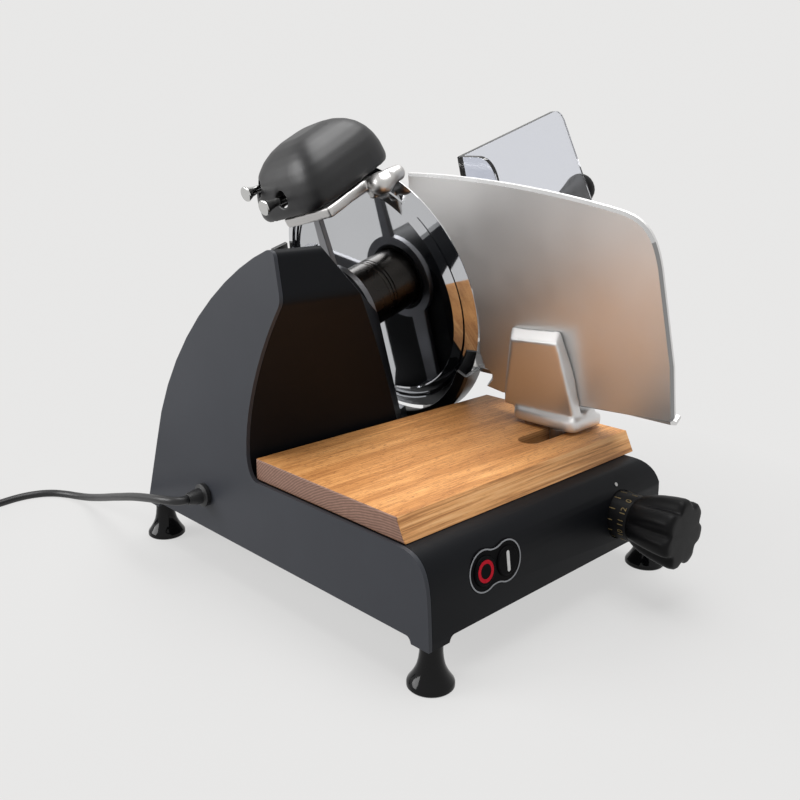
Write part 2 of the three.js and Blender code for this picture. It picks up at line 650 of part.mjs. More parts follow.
function makeGauge() {
  part(head, 'gauge_plate', makeGaugePlate(), MATERIAL.castAluminium);
  part(machine, 'gauge_bracket', makeBracket(), MATERIAL.castAluminium);
  const stem = rod(STEM_R, GUIDE_Z + 9 + GAP, PLINTH_Z - GAP, ROUND_Z, 24);
  part(machine, 'gauge_stem', stem.translate(STEM.x, STEM.y, 0), MATERIAL.brushedSteel);
  const guideBore = rod(6 + GAP, 0, 200, ROUND_X, 24).translate(0, STEM.y, GUIDE_Z);
  const slide = cut(
    join(
      block([STEM.x - 22, STEM.y - 14, GUIDE_Z - 11], [STEM.x + 14, STEM.y + 14, GUIDE_Z + 9]),
      block([KNOB.x - 20, STEM.y - 12, GUIDE_Z - 4], [STEM.x - 20, STEM.y + 6, GUIDE_Z + 8]),
      block([KNOB.x - 20, STEM.y - 42, KNOB.z + 1], [KNOB.x - CAM.low - 0.9, STEM.y - 10, GUIDE_Z + 8]),
    ),
    guideBore,
  );
  part(machine, 'gauge_slide', slide, MATERIAL.darkSteel);
  const guide = rod(6, 22, STEM.x + 17, ROUND_X, 24).translate(0, STEM.y, GUIDE_Z);
  const foot = (from, to) => block([from, STEM.y - 9, BASE_Z + GAP], [to, STEM.y + 9, GUIDE_Z + 9]);
  const guideFrame = join(guide, foot(20, 28), foot(STEM.x + 14.5, STEM.x + 17.5));
  part(machine, 'gauge_guide_rod', guideFrame, MATERIAL.brushedSteel);
}

function makeBlade() {
  // Hollow-ground disc: two polished conical bands lead from the flat back to the cutting edge.
  const profile = [[0, -5.6], [84, -5.6], [86, -10], [104.5, -2.6], [106, -8.2], [BLADE_R, -0.25],
    [BLADE_R, 0], [113, -1.1], [0, -1.6]];
  part(head, 'blade', turn(profile, ROUND_X, 80), MATERIAL.polishedSteel);
  const flange = turn([[SHAFT_R + GAP, -9.4], [HUB_R - 0.6, -9.4], [HUB_R, -8.8], [HUB_R, -5.9],
    [SHAFT_R + GAP, -5.9], [SHAFT_R + GAP, -9.4]], ROUND_X, 36);
  part(head, 'blade_flange', flange, MATERIAL.brushedSteel);
  part(head, 'blade_shaft', rod(SHAFT_R, -96, -5.9, ROUND_X, 24), MATERIAL.brushedSteel);
  const pulley = ringOf(SHAFT_R + GAP, PULLEY_R, BELT_FROM - 2, BELT_TO + 2, ROUND_X, 28);
  part(head, 'blade_pulley', pulley, MATERIAL.matteBlack);
  part(head, 'hub_sleeve', ringOf(19.3, HUB_R, HUB_BACK, -9.7, ROUND_X, 36), MATERIAL.brushedSteel);
  part(head, 'bearing_front', ringOf(SHAFT_R + GAP, 19, -24, -12, ROUND_X, 20), MATERIAL.darkSteel);
  part(head, 'bearing_rear', ringOf(SHAFT_R + GAP, 19, -55, -43, ROUND_X, 20), MATERIAL.darkSteel);
  const flangeRing = ringOf(HUB_R + GAP, 33.4, HUB_FACE + GAP, HUB_FACE + 7, ROUND_X, 36);
  part(head, 'hub_flange', flangeRing, MATERIAL.matteBlack);
}

function makeDrive() {
  const lower = (geometry) => geometry.translate(0, 0, -BELT_DROP);
  const motorProfile = [[0, MOTOR_TO], [18, MOTOR_TO], [MOTOR_R - 3, MOTOR_TO + 5], [MOTOR_R, MOTOR_TO + 12],
    [MOTOR_R, MOTOR_FROM - 10], [MOTOR_R - 3, MOTOR_FROM - 4], [14, MOTOR_FROM - 3], [14, MOTOR_FROM],
    [MOTOR_SHAFT_R + GAP, MOTOR_FROM], [MOTOR_SHAFT_R + GAP, MOTOR_FROM - 20], [0, MOTOR_FROM - 20]];
  part(head, 'motor', lower(turn(motorProfile, ROUND_X, 28)), MATERIAL.darkSteel);
  const shaft = rod(MOTOR_SHAFT_R, MOTOR_FROM - 19, -66, ROUND_X, 20);
  part(head, 'motor_shaft', lower(shaft), MATERIAL.brushedSteel);
  const pulley = ringOf(MOTOR_SHAFT_R + GAP, MOTOR_PULLEY_R, BELT_FROM - 2, BELT_TO + 2, ROUND_X, 20);
  part(head, 'motor_pulley', lower(pulley), MATERIAL.brushedSteel);

  // Flat belt round both pulleys.
  const loop = (grow) => {
    const big = PULLEY_R + GAP + grow;
    const small = MOTOR_PULLEY_R + GAP + grow;
    const lean = Math.asin((big - small) / BELT_DROP);
    const shape = new THREE.Shape();
    shape.absarc(0, 0, big, -lean, Math.PI + lean, false);
    shape.absarc(0, -BELT_DROP, small, Math.PI + lean, 2 * Math.PI - lean, false);
    return shape;
  };
  const belt = cut(
    extrude(loop(BELT_THICKNESS), ALONG_X, BELT_FROM, BELT_TO, 0, 20),
    extrude(loop(0), ALONG_X, BELT_FROM - 5, BELT_TO + 5, 0, 20),
  );
  part(head, 'drive_belt', belt, MATERIAL.rubber);

  // Saddle that stands on the bottom plate and carries the motor.
  const middle = headPoint((MOTOR_FROM + MOTOR_TO) / 2, 0, -BELT_DROP);
  const saddle = cut(
    block([middle.x - 26, middle.y - 24, BASE_Z + GAP], [middle.x + 26, middle.y + 24, middle.z - 8]),
    inHead(lower(rod(MOTOR_R + GAP, MOTOR_TO - 40, MOTOR_FROM + 40, ROUND_X, 40))),
  );
  part(machine, 'motor_mount', saddle, MATERIAL.darkSteel);
}

// An arc of a turned channel, between two angles in the blade plane measured from the back.
function turnArc(profile, fromAngle, toAngle, steps) {
  const rings = Array.from({ length: steps + 1 }, (_, i) => {
    const angle = fromAngle + ((toAngle - fromAngle) * i) / steps;
    return profile.map(([radius, off]) => v3(off, radius * Math.cos(angle), radius * Math.sin(angle)));
  });
  const count = profile.length;
  const index = [];
  for (let i = 0; i < steps; i += 1) {
    for (let j = 0; j < count; j += 1) {
      const k = (j + 1) % count;
      const a = i * count;
      const b = a + count;
      index.push(a + j, a + k, b + j, a + k, b + k, b + j);
    }
  }
  const caps = THREE.ShapeUtils.triangulateShape(profile.map(([radius, off]) => v2(radius, off)), []);
  const last = steps * count;
  for (const [a, b, c] of caps) {
    index.push(a, c, b, last + a, last + b, last + c);
  }
  const geometry = new THREE.BufferGeometry().setFromPoints(rings.flat());
  geometry.setIndex(index);
  return geometry;
}

function makeRing() {
  const inner = RING_R - RING_WALL;
  const section = [[RING_LIP_R, RING_BACK], [RING_R - 2, RING_BACK], [RING_R, RING_BACK + 2], [RING_R, 1],
    [inner, 1], [inner, RING_BACK + 3], [RING_LIP_R, RING_BACK + 3]];
  part(head, 'ring_guard', turnArc(section, -152 * DEGREE, 16 * DEGREE, 42), MATERIAL.castAluminium);

  // Star-shaped support on the tower: a ring round the hub with arms to the guard and the sharpener.
  const back = HUB_FACE + GAP;
  const front = back + 5.3;
  const centre = ringOf(33.8, 42, back, front, ROUND_X, 36);
  const arm = (points) => extrude(polygon(points), ALONG_X, back, front, 0.6);
  const upper = arm([[-4, 34], [9, 34], [9, 90.8], [1, 92.6]]);
  const lower = arm([[-27, -30], [-8, -38], [-10, -119], [-26, -119]]);
  const rear = arm([[36, -14], [39, 6], [120, 22], [122, 9]]);
  const feet = [
    block([front - 1, -26, -126], [RING_BACK - GAP, -10, -112]),
    block([front - 1, 114, 6], [RING_BACK - GAP, 126, 24]),
  ];
  part(head, 'ring_support', join(centre, upper, lower, rear, ...feet), MATERIAL.castAluminium);
}

function superEllipse(halfT, halfN, count) {
  return Array.from({ length: count }, (_, i) => {
    const angle = (2 * Math.PI * i) / count;
    const power = (value) => Math.sign(value) * Math.abs(value) ** COVER_CORNER;
    return [halfT * power(Math.cos(angle)), halfN * power(Math.sin(angle))];
  });
}

const inHood = (geometry) => geometry.rotateY(-COVER_TIP).translate(...COVER_CENTRE.toArray());

// Domed hood with a rounded rectangular plan.
function makeHood(inset) {
  const rim = inset > 0 ? [[1, -COVER_SKIRT - 4]] : [[0.96, -COVER_SKIRT], [1, 5 - COVER_SKIRT]];
  const stations = [...rim, [1, 0]];
  const step = inset > 0 ? 20 : 11;
  for (let rise = step; rise < 88; rise += step) {
    stations.push([Math.cos(rise * DEGREE) ** 0.75, Math.sin(rise * DEGREE) * (COVER_RISE - inset)]);
  }
  const rings = stations.map(([scale, height]) => {
    const lean = Math.max(height, 0) / COVER_RISE;
    const halfT = scale * (COVER_HALF_T - inset);
    const halfN = scale * (COVER_HALF_N - inset);
    return superEllipse(halfT, halfN, inset > 0 ? 24 : 40)
      .map(([t, off]) => v3(off + lean * COVER_LEAN.n, t + lean * COVER_LEAN.t, height));
  });
  return inHood(loft(rings));
}

function makeSharpener() {
  const pass = (spot) => rod(BUTTON_HEAD_R + 0.4, -100, -45, ROUND_X, 24).translate(0, spot.t, spot.r);
  const bladeNotch = block([-9, 20, 80], [6, 40, 126]);
  const hood = cut(makeHood(0), makeHood(COVER_WALL), bladeNotch, pass(SHARPEN_BUTTON), pass(DEBURR_BUTTON));
  part(sharpener, 'sharpener_cover', hood, MATERIAL.matteBlack);

  // Cast bridge over the blade's top, on the support's upper arm, with a rounded boss at the front.
  const bar = polygon([[47, 83], [10, 97], [-22, 109], [-52, 117.5], [-66, 123.2], [-66, 109.4], [-50, 108],
    [-20, 98], [12, 84], [43, 73]]);
  const boss = turn([[0, -14], [7.2, -14], [7.2, -1], [5.8, 1.6], [3, 3], [0, 3.4]], ROUND_X, 32)
    .translate(0, -66, 116.4);
  const seat = inHood(block([-44, 2.5 - COVER_HALF_T, -COVER_SKIRT - 10], [12, 18, -COVER_SKIRT - GAP]))
    .rotateX(-SHARPENER_TURN);
  const restTop = COVER_CENTRE.z - COVER_SKIRT + GAP;
  const rest = (t) => block([-23, t, 86], [-13, t + 9, restTop]).rotateX(-SHARPENER_TURN);
  const bridge = join(
    extrude(bar, ALONG_X, -24, -12, 1),
    rest(COVER_CENTRE.y - COVER_HALF_T - 1),
    rest(COVER_CENTRE.y + COVER_HALF_T - 8),
    seat,
    boss,
  );
  part(head, 'sharpener_bridge', bridge, MATERIAL.castAluminium);

  const trumpet = ({ t, r, head: end }, reach) => turn([[0, end], [6.4, end], [BUTTON_HEAD_R, end + 1.2],
    [4.6, end + 6], [3.4, end + 12], [3.4, reach], [0, reach]], ROUND_X, 20).translate(0, t, r);
  part(sharpener, 'sharpen_button', trumpet(SHARPEN_BUTTON, -22.8), MATERIAL.chrome);
  part(sharpener, 'deburr_button', trumpet(DEBURR_BUTTON, -34), MATERIAL.chrome);
  const wheel = (from, to, radius, t, r) => rod(radius, from, to, ROUND_X, 20).translate(0, t, r);
  const sharpening = wheel(-22.5, -13, STONE_R, SHARPEN_BUTTON.t, SHARPEN_BUTTON.r);
  part(sharpener, 'sharpening_stone', sharpening, MATERIAL.stone);
  const deburring = join(wheel(3.8, 9, 9, -30, 122), wheel(8, 14, 4, -30, 122));
  part(sharpener, 'deburring_stone', deburring, MATERIAL.stone);
}

function makeCarriage() {
  const floorPlan = roundedBox(TRAY.near, TRAY.front, TRAY.far, TRAY.back, 6);
  const wallView = roundedBox(TRAY.near + 5, TRAY.top - 2, TRAY.far - 2, TRAY.top + 49, 5);
  const rodPost = (from) => block(
    [from, PUSHER_ROD.y - 7, TRAY.top - 1],
    [from + 6, PUSHER_ROD.y + 7, PUSHER_ROD.up + 8],
  );
  const tray = join(
    extrude(floorPlan, ALONG_Z, TRAY.top - TRAY.thickness, TRAY.top),
    extrude(wallView, ALONG_MINUS_Y, -TRAY.front - 2.7, -TRAY.front),
    rodPost(TRAY.near + 5),
    rodPost(TRAY.far - 8),
  );
  const rodHole = rod(PUSHER_ROD.r + GAP, 0, 200, ROUND_X, 20).translate(0, PUSHER_ROD.y, PUSHER_ROD.up);
  part(head, 'carriage_tray', cut(tray, rodHole), MATERIAL.castAluminium);
  const pusherRod = rod(PUSHER_ROD.r, TRAY.near + 5, TRAY.far - 2, ROUND_X, 20)
    .translate(0, PUSHER_ROD.y, PUSHER_ROD.up);
  part(head, 'pusher_rod', pusherRod, MATERIAL.brushedSteel);

  // Bent arm from the slide block, out through the slot in the base and up to the tray.
  const under = headPoint(86, 0, TRAY.top - TRAY.thickness - GAP);
  const armSide = polygon([[ROD.x + 12 + GAP, ROD.z - 3.5], [ARM_X, ROD.z - 3.5], [ARM_X + 4, ROD.z],
    [ARM_X + 4, 88], [under.x + 20, under.z + 6], [under.x - 14, under.z - 4.5], [ARM_X - 4, 97],
    [ARM_X - 4, ROD.z + 3.5], [ROD.x + 12 + GAP, ROD.z + 3.5]]);
  const arm = cut(
    extrude(armSide, ALONG_MINUS_Y, -ARM_Y - ARM_HALF, -ARM_Y + ARM_HALF, 0.8),
    beyond(under, v3(-Math.sin(TILT), 0, Math.cos(TILT))),
  );
  part(machine, 'carriage_arm', arm, MATERIAL.castAluminium);
  const slider = cut(
    block([ROD.x - 12, ARM_Y - 14, ROD.z - 8], [ROD.x + 12, ARM_Y + 14, ROD.z + 8]),
    rod(ROD.r + GAP, -200, 200, ROUND_Y, 24).translate(ROD.x, 0, ROD.z),
  );
  part(machine, 'carriage_slider', slider, MATERIAL.darkSteel);
  const rail = join(
    rod(ROD.r, -168.5, 151, ROUND_Y, 24).translate(ROD.x, 0, ROD.z),
    block([ROD.x - 7, -168.5, BASE_Z + GAP], [ROD.x + 7, -160, ROD.z + 2]),
    block([ROD.x - 7, 143, BASE_Z + GAP], [ROD.x + 7, 151, ROD.z + 2]),
  );
  part(machine, 'carriage_rod', rail, MATERIAL.brushedSteel);

  // Clear hand guard: a front pane with a short wing bent towards the operator beside the blade.
  const pane = new THREE.Shape();
  pane.moveTo(GUARD.near, GUARD.foot);
  pane.lineTo(160, GUARD.foot);
  pane.bezierCurveTo(182, GUARD.foot, 181, 20, 177, 33);
  pane.lineTo(150.5, 115);
  pane.quadraticCurveTo(146.5, GUARD.top, 135, GUARD.top);
  pane.lineTo(GUARD.near, GUARD.top);
  const wing = new THREE.Shape();
  wing.moveTo(GUARD.back, GUARD.wingFoot);
  wing.lineTo(GUARD.back, GUARD.top);
  wing.lineTo(GUARD.wingFront + 18, GUARD.top);
  wing.quadraticCurveTo(GUARD.wingFront + 3, GUARD.top, GUARD.wingFront + 1, GUARD.top - 18);
  wing.lineTo(GUARD.wingFront, GUARD.wingFoot + 10);
  wing.quadraticCurveTo(GUARD.wingFront, GUARD.wingFoot, GUARD.wingFront + 10, GUARD.wingFoot);
  const guard = join(
    extrude(pane, ALONG_MINUS_Y, -GUARD.back, GUARD.thickness - GUARD.back, 0, OUTLINE_STEPS),
    extrude(wing, ALONG_X, GUARD.near, GUARD.near + GUARD.thickness, 0, OUTLINE_STEPS),
  );
  part(head, 'hand_guard', guard, MATERIAL.clear);
}

function makePusher() {
  const sliderFrom = PUSHER_FACE - 6;
  const armFrom = PUSHER_FACE + 5 + GAP;
  const armTo = armFrom + 9;
  const slider = join(
    block([sliderFrom, PUSHER_ROD.y - 9, PUSHER_ROD.up - 9], [armTo, PUSHER_ROD.y + 9, PUSHER_ROD.up + 9]),
    block([armFrom, PUSHER_KNOB.y - 7, PUSHER_ROD.up - 5], [armTo, PUSHER_KNOB.y + 7, PUSHER_KNOB.up + 12]),
  );
  const bore = rod(PUSHER_ROD.r + GAP, 0, 250, ROUND_X, 20).translate(0, PUSHER_ROD.y, PUSHER_ROD.up);
  part(head, 'pusher_arm', cut(slider, bore), MATERIAL.castAluminium);

  // Plate with rows of short spikes towards the food.
  const plateOutline = roundedBox(PUSHER_ROD.y + 9 + GAP, TRAY.top + 5, 26, 30, 12);
  const spikes = [];
  for (let y = -80; y <= 14; y += 30) {
    for (let up = -42; up <= 16; up += 26) {
      spikes.push(new THREE.ConeGeometry(2.4, 8, 6).applyMatrix4(ROUND_X).rotateZ(Math.PI)
        .translate(PUSHER_FACE - 3.4, y, up));
    }
  }
  const plate = join(extrude(plateOutline, ALONG_X, PUSHER_FACE, PUSHER_FACE + 5), ...spikes);
  part(head, 'pusher_plate', plate, MATERIAL.matteBlack);
  const knobProfile = [[0, 0], [8, 0], [9, 14], [12.5, 28], [15.5, 38], [15.8, 43], [13.5, 49], [8, 52],
    [0, 53]];
  const knob = turn(knobProfile, ROUND_X, 22).translate(armTo + GAP, PUSHER_KNOB.y, PUSHER_KNOB.up);
  part(head, 'pusher_knob', knob, MATERIAL.matteBlack);
}

// Route of the cord's open stretch, from the gland down to the table and round to the coil.
const CORD_ROUTE = [
  [GLAND.end - GAP, GLAND.y, GLAND.z], [-161, 75, 65], [-166, 77.5, 65], [-170, 84.5, 64.6],
  [-172, 95, 63], [-171.5, 112, 59], [-170, 132, 53.6], [-167.5, 152, 47.4], [-164.5, 174, 40],
  [-161, 198, 31.8], [-157.5, 222, 23.4], [-154.5, 246, 15.4], [-153.5, 268, 9], [-155, 286, 5.4],
  [-160, 302, 4], [-169, 314.5, 3.8],
  [-181, 321.5, 3.8], [-196, 324, 3.9], [-214, 321.6, 4.2], [-232, 317.6, 4.7],
];

const COIL_LEAD_TURNS = CORD_R / (Math.PI * COIL.outer);

// The put-away length: in along the table, up one layer where the spiral reverses, and out again on top.
class CoilCurve extends THREE.Curve {
  wound(turns) {
    const angle = COIL.start * DEGREE - 2 * Math.PI * turns;
    const fromMiddle = turns - COIL.turns / 2;
    const radius = COIL.outer - COIL.pitch * (COIL.turns / 2 - Math.abs(fromMiddle));
    const climb = THREE.MathUtils.smoothstep(fromMiddle, -0.25, 0.25) * (COIL.high - COIL.low);
    const lift = THREE.MathUtils.smoothstep(turns, COIL.turns - 0.4, COIL.turns) * (PLUG_AXIS_Z - COIL.high);
    return v3(COIL.x + radius * Math.cos(angle), COIL.y + radius * Math.sin(angle), COIL.low + climb + lift);
  }

  heading(turns) {
    const small = 1e-3;
    return this.wound(turns + small).sub(this.wound(turns - small)).setZ(0).normalize();
  }

  getPoint(t) {
    const turns = t * (COIL.turns + 2 * COIL_LEAD_TURNS) - COIL_LEAD_TURNS;
    const whole = THREE.MathUtils.clamp(turns, 0, COIL.turns);
    const past = (turns - whole) * 2 * Math.PI * COIL.outer;
    return this.wound(whole).addScaledVector(this.heading(whole), past);
  }
}

// Least clear distance between parts of the coil that aren't neighbours along it.
function coilGap(curve) {
  const steps = 700;
  const points = curve.getSpacedPoints(steps);
  const skip = Math.ceil((60 / curve.getLength()) * steps);
  let least = Infinity;
  for (let i = 0; i < points.length; i += 1) {
    for (let j = i + skip; j < points.length; j += 1) {
      least = Math.min(least, points[i].distanceTo(points[j]));
    }
  }
  return least - 2 * CORD_R;
}

function makeCord() {
  const coil = new CoilCurve();
  coil.arcLengthDivisions = 2000;
  const coilStart = coil.getPoint(0);
  const coilHeading = coil.heading(0);
  const last = coilStart.clone().addScaledVector(coilHeading, -GAP);
  const route = CORD_ROUTE.map((point) => v3(...point));
  route.push(last.clone().addScaledVector(coilHeading, -5), last);
  const open = new THREE.CatmullRomCurve3(route, false, 'centripetal');
  part(cordGroup, 'power_cord', tube(open, CORD_R, 40, 8), MATERIAL.rubber);
  part(cordGroup, 'cord_coil', tube(coil, CORD_R, 24 * COIL.turns, 6), MATERIAL.rubber);
  const millimetres = Math.round(open.getLength() + coil.getLength());
  console.log(`cord length ${millimetres} mm, coil gap to itself ${coilGap(coil).toFixed(2)} mm`);

  // Tie: a flat band closed round the bundle on the coil's far side.
  const inner = COIL.outer - (COIL.pitch * COIL.turns) / 2 - CORD_R - 1;
  const outer = COIL.outer + CORD_R + 1;
  const topZ = COIL.high + CORD_R + 1;
  const bandOut = roundedBox(inner - 1.2, 0.2, outer + 1.2, topZ + 1.2, 3);
  const bandIn = roundedBox(inner, 1.4, outer, topZ, 2);
  const band = cut(extrude(bandOut, ALONG_MINUS_Y, -4, 4), extrude(bandIn, ALONG_MINUS_Y, -6, 6))
    .rotateZ(100 * DEGREE).translate(COIL.x, COIL.y, 0);
  part(cordGroup, 'cord_tie', band, MATERIAL.matteBlack);

  // Earthed round plug, lying beside the coil.
  const end = coil.getPoint(1);
  const heading = coil.heading(COIL.turns);
  const plugProfile = [[0, 0], [4.6, 0], [6, 30], [9, 33], [15, 40], [17.6, 48], [17.6, 66], [16.6, 67.5],
    [0, 67.5]];
  const pins = [-9.5, 9.5].map((side) => rod(2.4, 66, 86, ROUND_X, 10).translate(0, side, 0));
  const plug = join(turn(plugProfile, ROUND_X, 20), ...pins)
    .rotateZ(Math.atan2(heading.y, heading.x))
    .translate(end.x + GAP * heading.x, end.y + GAP * heading.y, end.z);
  part(cordGroup, 'mains_plug', plug, MATERIAL.rubber);
}

makeBase();
makeSwitch();
makeKnob();
makeGauge();
makeBlade();
makeDrive();
makeRing();
makeSharpener();
makeCarriage();
makePusher();
makeCord();

// The origin is under the middle of the machine, on the table, with the cord left out.
machine.updateMatrixWorld(true);
const extent = new THREE.Box3();
for (const child of machine.children) {
  if (child !== cordGroup) extent.expandByObject(child, true);
}
machine.position.set(-(extent.min.x + extent.max.x) / 2, -(extent.min.y + extent.max.y) / 2, 0);

export default machine;
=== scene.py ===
"""Looks of the food slicer: finishes, printed signs, cord and studio, built round its solids."""

import json
import math

import bmesh
import bpy
from mathutils import Matrix, Vector


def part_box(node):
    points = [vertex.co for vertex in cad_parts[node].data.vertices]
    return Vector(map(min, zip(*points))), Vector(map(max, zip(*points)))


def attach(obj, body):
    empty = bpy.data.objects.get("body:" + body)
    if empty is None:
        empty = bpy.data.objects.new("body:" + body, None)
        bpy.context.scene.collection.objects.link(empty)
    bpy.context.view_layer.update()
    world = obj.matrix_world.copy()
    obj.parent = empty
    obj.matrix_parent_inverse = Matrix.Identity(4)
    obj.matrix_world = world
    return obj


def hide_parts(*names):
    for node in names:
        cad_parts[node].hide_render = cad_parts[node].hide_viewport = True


X_AXIS = Vector((1, 0, 0))
Y_AXIS = Vector((0, 1, 0))
Z_AXIS = Vector((0, 0, 1))

# Camera: place, direction and lens
CAMERA_PLACE = Vector((-0.5109, -0.5262, 0.3410))
CAMERA_YAW = math.radians(44.44)
CAMERA_PITCH = math.radians(15.85)
CAMERA_ROLL = math.radians(0.485)
CAMERA_LENS = 40.95
CAMERA_SENSOR = 36.0
CAMERA_NEAR = 0.05

# Studio: pale surroundings, their light on the object, and two softboxes (place, size, power)
BACKDROP = (0.807, 0.803, 0.797)
SURROUND_LIGHT = 0.32
FLOOR_SIZE = 40.0
FLOOR_COLOURS = ((0.555, 0.553, 0.549), (0.565, 0.563, 0.559))
FLOOR_GLOW = (0.70, 1.0)
FLOOR_GLOW_REACH = (0.24, 0.45)
SOFTBOX_AIM = Vector((-0.05, 0.0, 0.15))
SOFTBOXES = {
    "top_softbox": (Vector((0.05, -0.05, 1.5)), (1.4, 1.0), 24.0),
    "left_softbox": (Vector((-1.3, 0.9, 0.7)), (1.0, 0.8), 20.0),
}

# Textures: where a clouded colour is darkest and lightest, and the height of a fine grain
CLOUD_STOPS = (0.3, 0.7)
GRAIN_HEIGHT = 0.0002
WHITE = (1.0, 1.0, 1.0)

# Oak: colours of the figure, of dark fibres and pores, of the bevel's streaks and painted light, and of the
# ringed ends
OAK_FIGURE = (
    (0.28, (0.520, 0.225, 0.066)),
    (0.46, (0.640, 0.290, 0.090)),
    (0.60, (0.820, 0.410, 0.145)),
    (0.78, (0.920, 0.520, 0.220)),
)
OAK_FIBRES = ((0.36, (0.48, 0.38, 0.29)), (0.58, WHITE))
OAK_PORES = ((0.33, (0.34, 0.23, 0.16)), (0.43, WHITE))
OAK_STREAKS_AND_PAINTED_LIGHT = ((0.36, (0.33, 0.135, 0.042)), (0.50, (0.80, 0.40, 0.15)), (0.62, (0.95, 0.58, 0.28)))
OAK_RINGS = ((0.1, (0.165, 0.085, 0.058)), (0.9, (0.300, 0.165, 0.115)))
OAK_GRIT = ((0.3, (0.55, 0.5, 0.48)), (0.7, WHITE))
OAK_HEART = (0.0, 0.15, 0.05)
OAK_BEVEL_NORMAL = -0.4
OAK_END_NORMAL = 0.7

# Solids: welding distance, largest bend within one face, and smallest bend at a sharp edge
WELD = 2e-6
FLAT_BEND = math.radians(0.6)
SHARP_BEND = math.radians(35)

# Softened edges, and the castings that are rounded over instead, with their passes of rounding
EDGE_WIDTH = 0.0004
EDGE_WIDTHS = {"gauge_plate": 0.0003, "side_cover": 0.0012}
EDGE_SEGMENTS = 2
CAST_VOXEL = 0.0011
CAST_ROUNDING = 0.5
CAST_PASSES = {"gauge_bracket": 30, "sharpener_bridge": 40, "sharpener_cover": 24}

# Cutting head: tilt, centre and axis, and the gauge plate's rim behind its food side
HEAD_TILT = math.radians(17.4)
HEAD_CENTRE = Vector((0.0775, 0.107, 0.2055))
HEAD_AXIS = Vector((math.cos(HEAD_TILT), 0, math.sin(HEAD_TILT)))
RIM_DEPTH = 0.0036
RIM_SLOPE = 0.95

# Sharpener's bridge: boss at its front end as [offset, along Y, up the blade], and its half sizes
BOSS_CENTRE = Vector((-0.0185, -0.0610, 0.1125))
BOSS_HALF = Vector((0.0112, 0.0118, 0.0100))
BOSS_STEPS = 32

# Blade: [radius, offset from the blade plane], with two narrow polished bands near the edge
BLADE_PROFILE = (
    (0.0, -0.0056), (0.102, -0.0056), (0.103, -0.0070), (0.1104, -0.0032), (0.1138, -0.0032),
    (0.1142, -0.0052), (0.125, -0.00025), (0.125, 0.0), (0.113, -0.0011), (0.0, -0.0016),
)
BLADE_STEPS = 144
BLADE_CREASE = math.radians(12)

# Knob's grip: [distance from the collar, radius at the lobes, share of it cut between the lobes]
KNOB_LOBES = 7
KNOB_STEPS = 16 * KNOB_LOBES
KNOB_STATIONS = (
    (0.0, 0.0180, 0.02), (0.0012, 0.0190, 0.04), (0.0050, 0.0212, 0.10), (0.0110, 0.0234, 0.16),
    (0.0190, 0.0253, 0.19), (0.0280, 0.0268, 0.20), (0.0350, 0.0275, 0.20), (0.0382, 0.0270, 0.19),
    (0.0398, 0.0255, 0.17), (0.0403, 0.0232, 0.12), (0.0404, 0.0195, 0.0),
)
KNOB_FLUTE = 2.2
KNOB_CREASE = math.radians(50)

# Foot: [share of the foot's radius, share of its height], with a thin rim under a hollow flare
FOOT_PROFILE = (
    (0.0, 0.0), (0.96, 0.0), (1.0, 0.025), (1.0, 0.10), (0.97, 0.14), (0.86, 0.22),
    (0.72, 0.34), (0.60, 0.48), (0.53, 0.64), (0.49, 0.82), (0.49, 1.0), (0.0, 1.0),
)
FOOT_STEPS = 64
FOOT_CREASE = math.radians(40)
FEET = ("foot_front_left", "foot_front_right", "foot_rear_left", "foot_rear_right")

# Switch signs, in the switch's own leaning plane
SWITCH_CENTRE = Vector((-0.075, -0.1723, 0.068))
SWITCH_LEAN = math.radians(-8)
SWITCH_PITCH = 0.0116
SWITCH_LOBE = 0.015
SWITCH_LOBE_END = math.radians(115)
SWITCH_WAIST = 0.00315
SWITCH_FACE = 0.0024
SWITCH_RIM = (0.0001, 0.0011)
BUTTON_FACE = 0.0038
OFF_RING = (0.0078, 0.0052)
ON_BAR = (0.0150, 0.0030)
SIGN_THICKNESS = 0.0001
LOBE_STEPS = 32
WAIST_STEPS = 8
BAR_STEPS = 12

# Dial on the collar
KNOB_CENTRE = Vector((0.077, 0.0, 0.0615))
COLLAR_RADIUS = 0.0185
DIAL_COUNT = 13
DIAL_START = math.radians(-27)
DIAL_STEP = math.radians(27.5)
DIGIT_SIZE = 0.0066
DIGIT_Y = -0.1862
TICK_Y = (-0.1790, -0.1735)
TICK_WIDTH = 0.0007
INDEX_DOT = Vector((0.0755, -0.1699, 0.0854))
INDEX_LEAN = math.radians(59.4)
INDEX_RADIUS = 0.0016

# Cord: the open stretch's route in the machine's drawing frame, and the coil
CORD_RADIUS = 0.0035
GLAND_END = Vector((-0.158, 0.075, 0.065))
CORD_ROUTE = (
    (-0.1583, 0.075, 0.065), (-0.161, 0.075, 0.065), (-0.166, 0.0775, 0.065), (-0.170, 0.0845, 0.0646),
    (-0.172, 0.095, 0.063), (-0.1715, 0.112, 0.059), (-0.170, 0.132, 0.0536), (-0.1675, 0.152, 0.0474),
    (-0.1645, 0.174, 0.040), (-0.161, 0.198, 0.0318), (-0.1575, 0.222, 0.0234), (-0.1545, 0.246, 0.0154),
    (-0.1535, 0.268, 0.009), (-0.155, 0.286, 0.0054), (-0.160, 0.302, 0.004), (-0.169, 0.3145, 0.0038),
    (-0.181, 0.3215, 0.0038), (-0.196, 0.324, 0.0039), (-0.214, 0.3216, 0.0042), (-0.232, 0.3176, 0.0047),
)
CORD_LEAD = 2 * CORD_RADIUS
CORD_LEAD_STEP = 0.0053
COIL_CENTRE = Vector((-0.272, 0.361, 0.0))
COIL_OUTER = 0.051
COIL_PITCH = 0.0076
COIL_TURNS = 6
COIL_LOW = 0.0053
COIL_HIGH = 0.013
COIL_CLIMB_TURNS = 0.5
COIL_LIFT_TURNS = 0.4
COIL_START = math.radians(-79)
COIL_STEPS = 24
COIL_NUDGE = 0.001
PLUG_AXIS_Z = 0.0182

